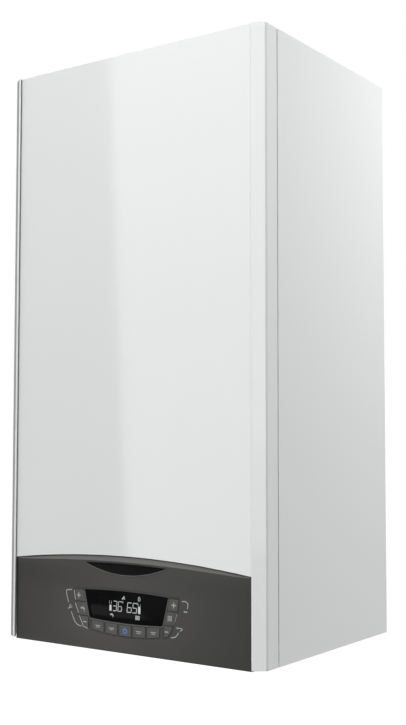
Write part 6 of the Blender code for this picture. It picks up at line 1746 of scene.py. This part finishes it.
@dataclass
class FanUnit(Assembly):
    """Fan with its motor, mixer and air silencer."""

    centre: Pair = (0.118, 0.42)
    rear_y: float = -0.166
    front_y: float = -0.214
    motor_radius: float = 0.038
    motor_length: float = 0.045
    housing_bolts: float = 0.058
    mixer_bolts: float = 0.0352
    mixer_y: float = -0.2184

    def motor(self) -> Piece:
        """The motor can with cooling slots: r (1 - 0.035 clip(3 cos 24a, 0, 1)) along its middle."""
        front, radius = self.rear_y + 0.0009, self.motor_radius
        rear = front + self.motor_length
        profile = np.vstack([
            [(0.0, front), (radius - 0.001, front), (radius, front + 0.001)],
            upright(radius, np.linspace(front + 0.01, rear - 0.01, 12)),
            [(radius, rear - 0.005), (radius - 0.0015, rear - 0.0015), (radius - 0.005, rear), (0.01, rear),
             (0.009, rear - 0.002), (0.0, rear - 0.002)]])
        slots = within(front + 0.009, rear - 0.009,
                       lambda a, y: 1.0 - 0.035 * np.clip(3 * np.cos(24 * a), 0.0, 1.0))
        body = Surface().lathe(profile, Axis.Y, self.centre, 192, slots)
        x, low = self.centre[0], self.centre[1] - radius
        body.block((x - 0.011, x + 0.011), (front + 0.012, rear - 0.012), (low - 0.01, low + 0.008), 0.0015)
        return body.build("fan_motor_can")

    def bolts(self) -> Piece:
        """Screws round the housing's front and the mixer's flange."""
        body = Surface()
        for place in around(self.centre, self.housing_bolts, np.arange(22.5, 382.5, 45.0)):
            screw(body, Axis.Y, place, self.front_y, -1.0, 0.003)
        for place in around(self.centre, self.mixer_bolts, range(45, 405, 90)):
            screw(body, Axis.Y, place, self.mixer_y, -1.0, 0.0026)
        return body.build("fan_screws")

    def make(self) -> None:
        """Build and dress the fan's pieces."""
        self.keep(CAST, "fan_housing", width=0.0008)
        self.dress(self.motor(), LACQUER, "fan_motor")
        self.dress(self.bolts(), ZINC)
        self.keep(COMPOSITE, "fan_wheel", width=0.0002, segments=1, body="fan_wheel")
        self.keep(CAST, "venturi_mixer", width=0.0007)
        self.keep(COMPOSITE, "air_silencer", width=0.001)


@dataclass
class GasTrain(Assembly):
    """Gas valve and the pipes that feed it and the mixer."""

    screw_x: Pair = (0.118, 0.174)
    screw_z: Pair = (0.261, 0.324)
    valve_front: float = -0.187

    def fittings(self) -> Piece:
        """Four screws on the valve's front."""
        body = Surface()
        for x in self.screw_x:
            for z in self.screw_z:
                screw(body, Axis.Y, (x, z), self.valve_front, -1.0, 0.003)
        return body.build("valve_screws")

    def make(self) -> None:
        """Dress the gas pieces."""
        self.keep(CAST, "gas_valve", width=0.001)
        self.dress(self.fittings(), ZINC)
        self.keep(COPPER, "gas_pipe", width=0.0003)


@dataclass
class Tail(Assembly):
    """One threaded pipe tail under the case: its thread, its neck and its union nut."""

    name: str = "flow_tail"
    x: float = -0.134
    radius: float = 0.013
    bore: float = 0.008
    nut_reach: float = 0.0165
    setback: float = 0.07
    drop: float = 0.012
    top: float = 0.0397
    pitch: float = 0.0018
    nut_height: float = 0.014

    def shape(self) -> Surface:
        """The tail, turned about Z: its thread is r (1 - 0.055 (0.5 + 0.5 cos(a - tau z / pitch)))."""
        end, run = -self.drop, -self.drop + 0.018
        neck, grip = self.bore + 0.0022, self.nut_reach
        foot = self.top - self.nut_height
        profile = np.vstack([
            [(self.bore + 0.0006, end), (self.radius - 0.0016, end)],
            upright(self.radius, np.arange(end + 0.0012, run, self.pitch / 8)),
            [(neck, run + 0.002), (neck, foot - 0.001), (grip * 0.84, foot), (grip * 0.84, self.top - 0.0005),
             (grip * 0.82, self.top), (self.bore, self.top), (self.bore, end + 0.0006)]])

        def groove(angle: Array, along: Array) -> Array:
            """One helical groove, which fades out at both ends."""
            cut = 0.5 + 0.5 * np.cos(angle - math.tau * along / self.pitch)
            fade = (np.clip((along - end - 0.0008) / 0.0012, 0.0, 1.0)
                    * np.clip((run - along) / 0.0012, 0.0, 1.0))
            return 1.0 - 0.055 * cut * fade
        place = (self.x, -self.setback)
        body = Surface().lathe(profile, Axis.Z, place, 72, groove, closed=True)
        across = grip * 2 * math.cos(math.pi / 6) * 0.995
        nut(body, Axis.Z, place, foot + 0.001, self.top - 0.001, across, grip * 0.7)
        return body

    def make(self) -> None:
        """Build and dress the tail."""
        self.dress(self.shape().build(self.name + "_turned", 40.0), BRASS, self.name)


@dataclass
class GasTail(Tail):
    """The gas connection: a tail that goes on as a bent pipe up to the valve."""

    name: str = "gas_tail"
    x: float = 0.0
    top: float = 0.04
    pipe_radius: float = 0.009
    run_height: float = 0.238
    valve: Triple = (0.146, -0.13, 0.2547)

    def shape(self) -> Surface:
        """The tail and its pipe, swept along a line with rounded bends."""
        body = super().shape()
        vx, vy, vz = self.valve
        corners = [(0.0, -self.setback, self.top - 0.004), (0.0, -self.setback, self.run_height),
                   (vx, -self.setback, self.run_height), (vx, vy, self.run_height), (vx, vy, vz)]
        path = dense(fillet(corners, 0.014, 10), 0.002)
        return body.tube(path, self.pipe_radius, 32)


@dataclass
class Vessel(Assembly):
    """The flat expansion vessel behind the heat exchanger."""

    centre: Pair = (0.0, 0.47)
    radius: float = 0.15
    rear_y: float = -0.014
    front_y: float = -0.1

    def disc(self) -> Piece:
        """Two dished halves and a rolled seam, with raised rings on each face, turned about Y.

        Each dish falls by the quarter ellipse d (1 - sqrt(1 - s^2)) towards its rim.
        """
        depth = self.rear_y - self.front_y
        dish, body, flat = depth * 0.21, self.radius - 0.0045, 0.77 * self.radius
        middle = (self.rear_y + self.front_y) / 2
        s = np.linspace(0.0, 1.0, 14)
        fall = dish * (1 - np.sqrt(np.clip(1 - s ** 2, 0.0, 1.0)))
        curve = np.stack([flat + (body - flat) * s, self.front_y + fall], 1)
        rings = [(reach, self.front_y + deep) for reach, deep in (
            (0.0, 0.0012), (0.028, 0.0012), (0.032, 0.0), (0.06, 0.0), (0.063, 0.0016), (0.07, 0.0016),
            (0.073, 0.0), (0.1, 0.0))]
        front = np.vstack([fillet(rings, 0.0012, 3), curve])
        seam = fillet([(body, middle - 0.0032), (self.radius, middle - 0.0026),
                       (self.radius, middle + 0.0026), (body, middle + 0.0032)], 0.001, 3)
        rear = front[::-1] * (1.0, -1.0) + (0.0, self.rear_y + self.front_y)
        plug = 0.3 * self.radius
        seat = [(plug, self.rear_y), (plug, -0.003), (0.0, -0.003)]
        profile = np.vstack([front, seam, rear[rear[:, 0] > plug + 0.002], seat])
        shape = Surface().lathe(profile, Axis.Y, self.centre, 128)
        foot = self.centre[1] - self.radius - 0.014
        nipple = [(0.0, foot), (0.0082, foot), (0.0088, foot + 0.0008), (0.0088, foot + 0.03),
                  (0.0, foot + 0.03)]
        shape.lathe(nipple, Axis.Z, (self.centre[0], middle), 32)
        return shape.build("vessel_disc", 38.0)

    def make(self) -> None:
        """Build and dress the vessel."""
        self.dress(self.disc(), VESSEL_RED, "expansion_vessel")


@dataclass
class Knobs(Assembly):
    """The relief valve's and the filling tap's knobs, each on its own body."""

    radius: float = 0.014
    length: float = 0.02
    pin: float = 0.004
    relief_place: Pair = (0.06, 0.075)
    relief_face: float = -0.1423
    filling_place: Pair = (0.1, -0.112)

    def relief(self) -> Piece:
        """The fluted knob, turned about Y as r (1 - 0.040 (1 + cos 12a)), with a dished face."""
        face, front = self.relief_face, self.relief_face - self.length
        profile = np.vstack([[(0.0, front + 0.0012), (0.0085, front + 0.0008), (0.011, front)],
                             upright(self.radius, np.linspace(front + 0.0015, face - 0.001, 8)),
                             [(0.0128, face), (self.pin, face), (self.pin, face + 0.0098),
                              (0.0, face + 0.01)]])
        flutes = within(-1.0, face - 0.0005, lambda a, y: 1.0 - 0.04 * (1 + np.cos(12 * a)))
        body = Surface().lathe(profile, Axis.Y, self.relief_place, 144, flutes)
        return body.build("relief_knob_fluted", 40.0)

    def filling(self) -> Piece:
        """The four-lobed knob, turned about Z as r (1 + 0.12 cos 4a) / 1.12, with a stem."""
        low, high = -0.018, 0.002
        rim = fillet([(0.0, low), (self.radius, low), (self.radius, high), (self.pin, high),
                      (self.pin, 0.0498), (0.0, 0.05)], 0.0016, 4)
        lobes = within(-1.0, high + 1e-6, lambda a, z: (1.0 + 0.12 * np.cos(4 * a)) / 1.12)
        body = Surface().lathe(rim, Axis.Z, self.filling_place, 128, lobes)
        return body.build("filling_knob_lobed", 40.0)

    def make(self) -> None:
        """Build and dress both knobs."""
        self.dress(self.relief(), SIGNAL_RED, "relief_knob", body="relief_knob")
        self.dress(self.filling(), SIGNAL_BLUE, "filling_knob", body="filling_knob")


@dataclass
class Hydraulics(Assembly):
    """Pump, manifolds, plate heat exchanger, trap, hose and pipes."""

    hose_radius: float = 0.0095
    hose_pitch: float = 0.004
    stack_x: Pair = (-0.088, 0.07)
    stack_y: Pair = (-0.16, -0.1)

    def hose(self) -> Piece:
        """The corrugated hose: r (1 - 0.06 (1 + cos(tau s / pitch))) along its middle line."""
        corners = [(-0.035, -0.1784, 0.3847), (-0.035, -0.1784, 0.3627), (-0.06, -0.178, 0.316),
                   (-0.06, -0.178, 0.2903)]
        path = dense(fillet(corners, 0.024, 14), self.hose_pitch / 8)
        s = np.arange(len(path)) * self.hose_pitch / 8
        ends = np.clip(np.minimum(s, s[-1] - s) / 0.006, 0.0, 1.0)
        radius = self.hose_radius * (1 - 0.06 * ends * (1 + np.cos(math.tau * s / self.hose_pitch)))
        return Surface().tube(path, radius - 0.0001, 32).build("trap_hose", 60.0)

    def clips(self) -> Piece:
        """Two spring clips round the hose's ends, rings of small round section."""
        body = Surface()
        for place, level in (((-0.035, -0.1784), 0.38), ((-0.06, -0.178), 0.296)):
            body.hoop(Axis.Z, place, self.hose_radius + 0.0006, level, 0.0009, 12, 48)
        return body.build("hose_clips")

    def stack(self) -> Piece:
        """Pressed edges of the plate stack, one low rib for each pair of plates."""
        body = Surface()
        x, y = self.stack_x, self.stack_y
        for z in np.arange(0.129, 0.18, 0.0044):
            body.slab(rectangle((x[0] + 0.0006, x[1] - 0.0006), (y[0] - 0.0005, y[1] - 0.001), 0.009, 6),
                      z, z + 0.0014, Axis.Z, 0.0005, 0.0005, steps=2)
        return body.build("plate_edges")

    def make(self) -> None:
        """Build and dress the water side's pieces."""
        self.keep(STAINLESS, "vessel_pipe", "plate_exchanger")
        self.dress(self.stack(), STAINLESS)
        self.keep(NYLON, "flow_manifold", "return_manifold", "pump_body", width=0.0008)
        self.keep(NYLON, "diverter_motor", width=0.0012)
        self.keep(BRASS, "diverter_stem", width=0.0002, segments=1, body="diverter_stem")
        self.keep(LACQUER, "pump_motor", width=0.0008)
        self.keep(COMPOSITE, "pump_wheel", width=0.0002, segments=1, body="pump_wheel")
        self.keep(COPPER, "flow_pipe", "return_pipe", width=0.0003)
        self.keep(TRAP_WHITE, "condensate_trap", width=0.0006)
        self.dress(self.hose(), HOSE, "condensate_hose")
        self.dress(self.clips(), ZINC)
        for name, x, radius, bore, reach in (
                ("flow_tail", -0.134, 0.013, 0.008, 0.0165),
                ("hot_water_tail", -0.067, 0.0105, 0.0062, 0.0135),
                ("cold_water_tail", 0.067, 0.0105, 0.0062, 0.0135),
                ("return_tail", 0.134, 0.013, 0.008, 0.0165)):
            Tail(self.casing, name=name, x=x, radius=radius, bore=bore, nut_reach=reach).make()
        GasTail(self.casing).make()


@dataclass
class FrontPad(Assembly):
    """The fibre pad stuck inside the front."""

    body: str = "front_casing"

    def make(self) -> None:
        """Dress the pad."""
        self.keep(PAD_FELT, "front_pad", width=0.0025, segments=4)


# Studio: floor, lamps, world and camera

WHITE = (1.0, 1.0, 1.0, 1.0)


class Reach(Enum):
    """What a lamp does: light faces and show in gloss, only light them, or only show in gloss."""

    BOTH = (True, True)
    LIGHT = (True, False)
    GLOSS = (False, True)


@dataclass(frozen=True)
class Lamp:
    """A soft rectangular lamp: where it stands, what it looks at, its size and the light that it gives."""

    name: str
    place: Triple
    target: Triple
    size: Pair
    radiance: float
    lean: float = 0.0
    reach: Reach = Reach.BOTH
    colour: Colour = (1.0, 1.0, 1.0)

    def hang(self) -> None:
        """Put the lamp in the scene; its power is radiance times pi times its area."""
        light = bpy.data.lights.new(self.name, "AREA")
        light.shape = "RECTANGLE"
        light.size, light.size_y = self.size
        light.energy = self.radiance * math.pi * self.size[0] * self.size[1]
        light.color = self.colour
        lamp = linked(self.name, light)
        lamp.visible_camera = False
        lamp.visible_diffuse, lamp.visible_glossy = self.reach.value
        lamp.matrix_world = aimed(self.place, self.target, self.lean)


def aimed(place: Sequence[float], target: Sequence[float], lean: float = 0.0) -> Matrix:
    """Place and turn of something that looks at a target along its own -Z, with a lean in degrees."""
    look = (Vector(target) - Vector(place)).to_track_quat("-Z", "Y").to_matrix()
    return Matrix.Translation(place) @ (look @ Matrix.Rotation(math.radians(lean), 3, "Z")).to_4x4()


def plain_card(name: str, size: Pair, height: float) -> tuple[Piece, Graph]:
    """A flat card round the Z axis, linked and staged, and the graph of its plain material."""
    a, b = size[0] / 2, size[1] / 2
    mesh = bpy.data.meshes.new(name)
    mesh.from_pydata([(-a, -b, height), (a, -b, height), (a, b, height), (-a, b, height)], [], [(0, 1, 2, 3)])
    material = bpy.data.materials.new(name)
    material.use_nodes = True
    mesh.materials.append(material)
    card = linked(name, mesh)
    card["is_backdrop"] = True
    return card, Graph(material.node_tree)


@dataclass(frozen=True)
class Flag:
    """A black card that only gloss sees: it draws a dark line along a pale edge, and casts no shadow."""

    name: str
    place: Triple
    target: Triple
    size: Pair

    def hang(self) -> None:
        """Put the card in the scene, facing its target."""
        card, graph = plain_card(self.name, self.size, 0.0)
        black = {"Base Color": (0.0, 0.0, 0.0, 1.0), "Specular IOR Level": 0.0}
        graph.feed(graph.tree.nodes["Principled BSDF"], black)
        card.matrix_world = aimed(self.place, self.target)
        card.visible_camera = card.visible_diffuse = card.visible_shadow = card.visible_transmission = False


@dataclass
class Studio:
    """Plain pale surroundings and the camera at the photograph's angle."""

    camera_place: Triple = (0.8716, -1.3933, 0.2677)
    yaw: float = 34.957
    pitch: float = 3.579
    roll: float = 0.072
    lens: float = 55.62
    floor_height: float = -1.25
    floor_width: float = 28.0
    floor_glow: float = 0.78
    ambient: float = 0.33
    lamps: tuple[Lamp, ...] = (
        Lamp("front_card", (-1.27, -2.3, 0.0), (-1.27, 0.0, 0.0), (0.74, 2.3), 1.45, 2.9),
        Lamp("top_near", (0.25, -1.0, 0.75), (0.05, -0.31, -0.2), (0.8, 0.5), 2.1),
        Lamp("front_soft", (0.9, -2.4, 1.0), (0.0, -0.3, -0.3), (1.6, 1.4), 3.15, reach=Reach.LIGHT),
        Lamp("side_high", (0.75, 0.25, 0.2), (0.2, -0.06, -0.2), (0.5, 0.5), 4.1, reach=Reach.LIGHT),
        Lamp("left_soft", (-1.9, -0.5, 0.4), (-0.2, -0.15, -0.3), (1.2, 1.6), 2.0, reach=Reach.LIGHT),
        Lamp("rear_soft", (0.3, 2.4, 0.4), (0.0, 0.0, -0.3), (1.6, 1.4), 2.6, reach=Reach.LIGHT),
        *(Lamp(name, (1.77, -2.11, z), (0.19, -0.31, z), (0.9, tall), radiance, reach=Reach.GLOSS)
          for name, z, tall, radiance in (
              ("chamfer_card", 0.3, 1.5, 2.4), ("chamfer_mid", -0.625, 0.35, 1.9),
              ("chamfer_low", -1.02, 0.44, 1.15))),
        Lamp("low_warm", (-1.62, -2.14, -1.2), (-0.1, -0.31, -0.7), (0.34, 0.4), 7.5, reach=Reach.GLOSS,
             colour=(1.0, 0.96, 0.9)))
    flags: tuple[Flag, ...] = (
        Flag("right_flag", (1.25, -0.25, -0.3), (0.2, -0.25, -0.3), (1.5, 2.6)),
        Flag("left_flag", (-1.24, 0.08, -0.35), (-0.19, 0.08, -0.35), (0.75, 2.6)),
        Flag("low_flag", (-2.3, -1.95, -1.02), (-0.18, -0.31, -0.62), (0.6, 0.44)))

    def camera(self) -> None:
        """Place the camera from its fitted angles, with the photograph's field of view."""
        yaw, pitch, roll = (math.radians(angle) for angle in (self.yaw, self.pitch, self.roll))
        ahead = np.array([-math.sin(yaw) * math.cos(pitch), math.cos(yaw) * math.cos(pitch), math.sin(pitch)])
        right = np.array([math.cos(yaw), math.sin(yaw), 0.0])
        up = np.cross(right, ahead)
        right, up = (right * math.cos(roll) + up * math.sin(roll),
                     up * math.cos(roll) - right * math.sin(roll))
        data = bpy.data.cameras.new("camera")
        data.sensor_fit = "VERTICAL"
        data.sensor_height = 36.0
        data.lens = self.lens
        data.clip_start = 0.01
        data.clip_end = 60.0
        camera = linked("camera", data)
        place = np.array(self.camera_place) - np.array([0.0, 0.0, HANG])
        rows = [[right[k], up[k], -ahead[k], place[k]] for k in range(3)]
        camera.matrix_world = Matrix(rows + [[0, 0, 0, 1]])
        bpy.context.scene.camera = camera

    def world(self) -> None:
        """Even pale surroundings: full white to the camera, to gloss and through glass, softer as light."""
        world = bpy.data.worlds.new("studio")
        bpy.context.scene.world = world
        world.use_nodes = True
        world.node_tree.nodes.clear()
        graph = Graph(world.node_tree)
        level = {"Value": graph.seen(), "To Min": self.ambient, "To Max": 1.0}
        strength = graph.add("ShaderNodeMapRange", level).outputs["Result"]
        back = graph.add("ShaderNodeBackground", {"Color": WHITE, "Strength": strength})
        graph.add("ShaderNodeOutputWorld", {"Surface": back.outputs[0]})

    def floor(self) -> None:
        """A plain pale floor below the boiler, which keeps the boiler's shadow."""
        _, graph = plain_card("floor", (self.floor_width, self.floor_width), self.floor_height)
        graph.feed(graph.tree.nodes["Principled BSDF"], {
            "Roughness": 0.9, "Base Color": (0.55, 0.55, 0.55, 1.0), "Emission Color": WHITE,
            "Emission Strength": graph.maths("MULTIPLY", graph.seen(), self.floor_glow)})

    def make(self) -> None:
        """Set the colour view, then add the camera, the world, the floor, the lamps and the flags."""
        bpy.context.scene.view_settings.view_transform = "Standard"
        self.camera()
        self.world()
        self.floor()
        for item in (*self.lamps, *self.flags):
            item.hang()


ASSEMBLIES: tuple[type[Assembly], ...] = (
    SheetBody, FrontCasing, FrontPad, Fascia, Keypad, Tiles, Markings, PanelBox, Flue, HeatCell, FanUnit,
    GasTrain, Vessel, Knobs, Hydraulics)


def box_rows() -> list[list[float]]:
    """The object's box as two lists of numbers."""
    return [[float(value) for value in corner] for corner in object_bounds()]


def main() -> dict[str, list[list[float]]]:
    """Load the frame, build and dress every sub-assembly, and set up the studio.

    Returns:
        The box of the CAD model, as it was right after loading.
    """
    logging.basicConfig(level=logging.INFO, format="%(name)s %(message)s")
    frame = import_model()
    NODES.update(frame["nodes"])
    sizes = {"cad": box_rows()}
    casing = Casing()
    Studio().make()
    for assembly in ASSEMBLIES:
        assembly(casing).make()
    return sizes


if __name__ == "__main__":
    boxes = main()
    boxes["visual"] = box_rows()
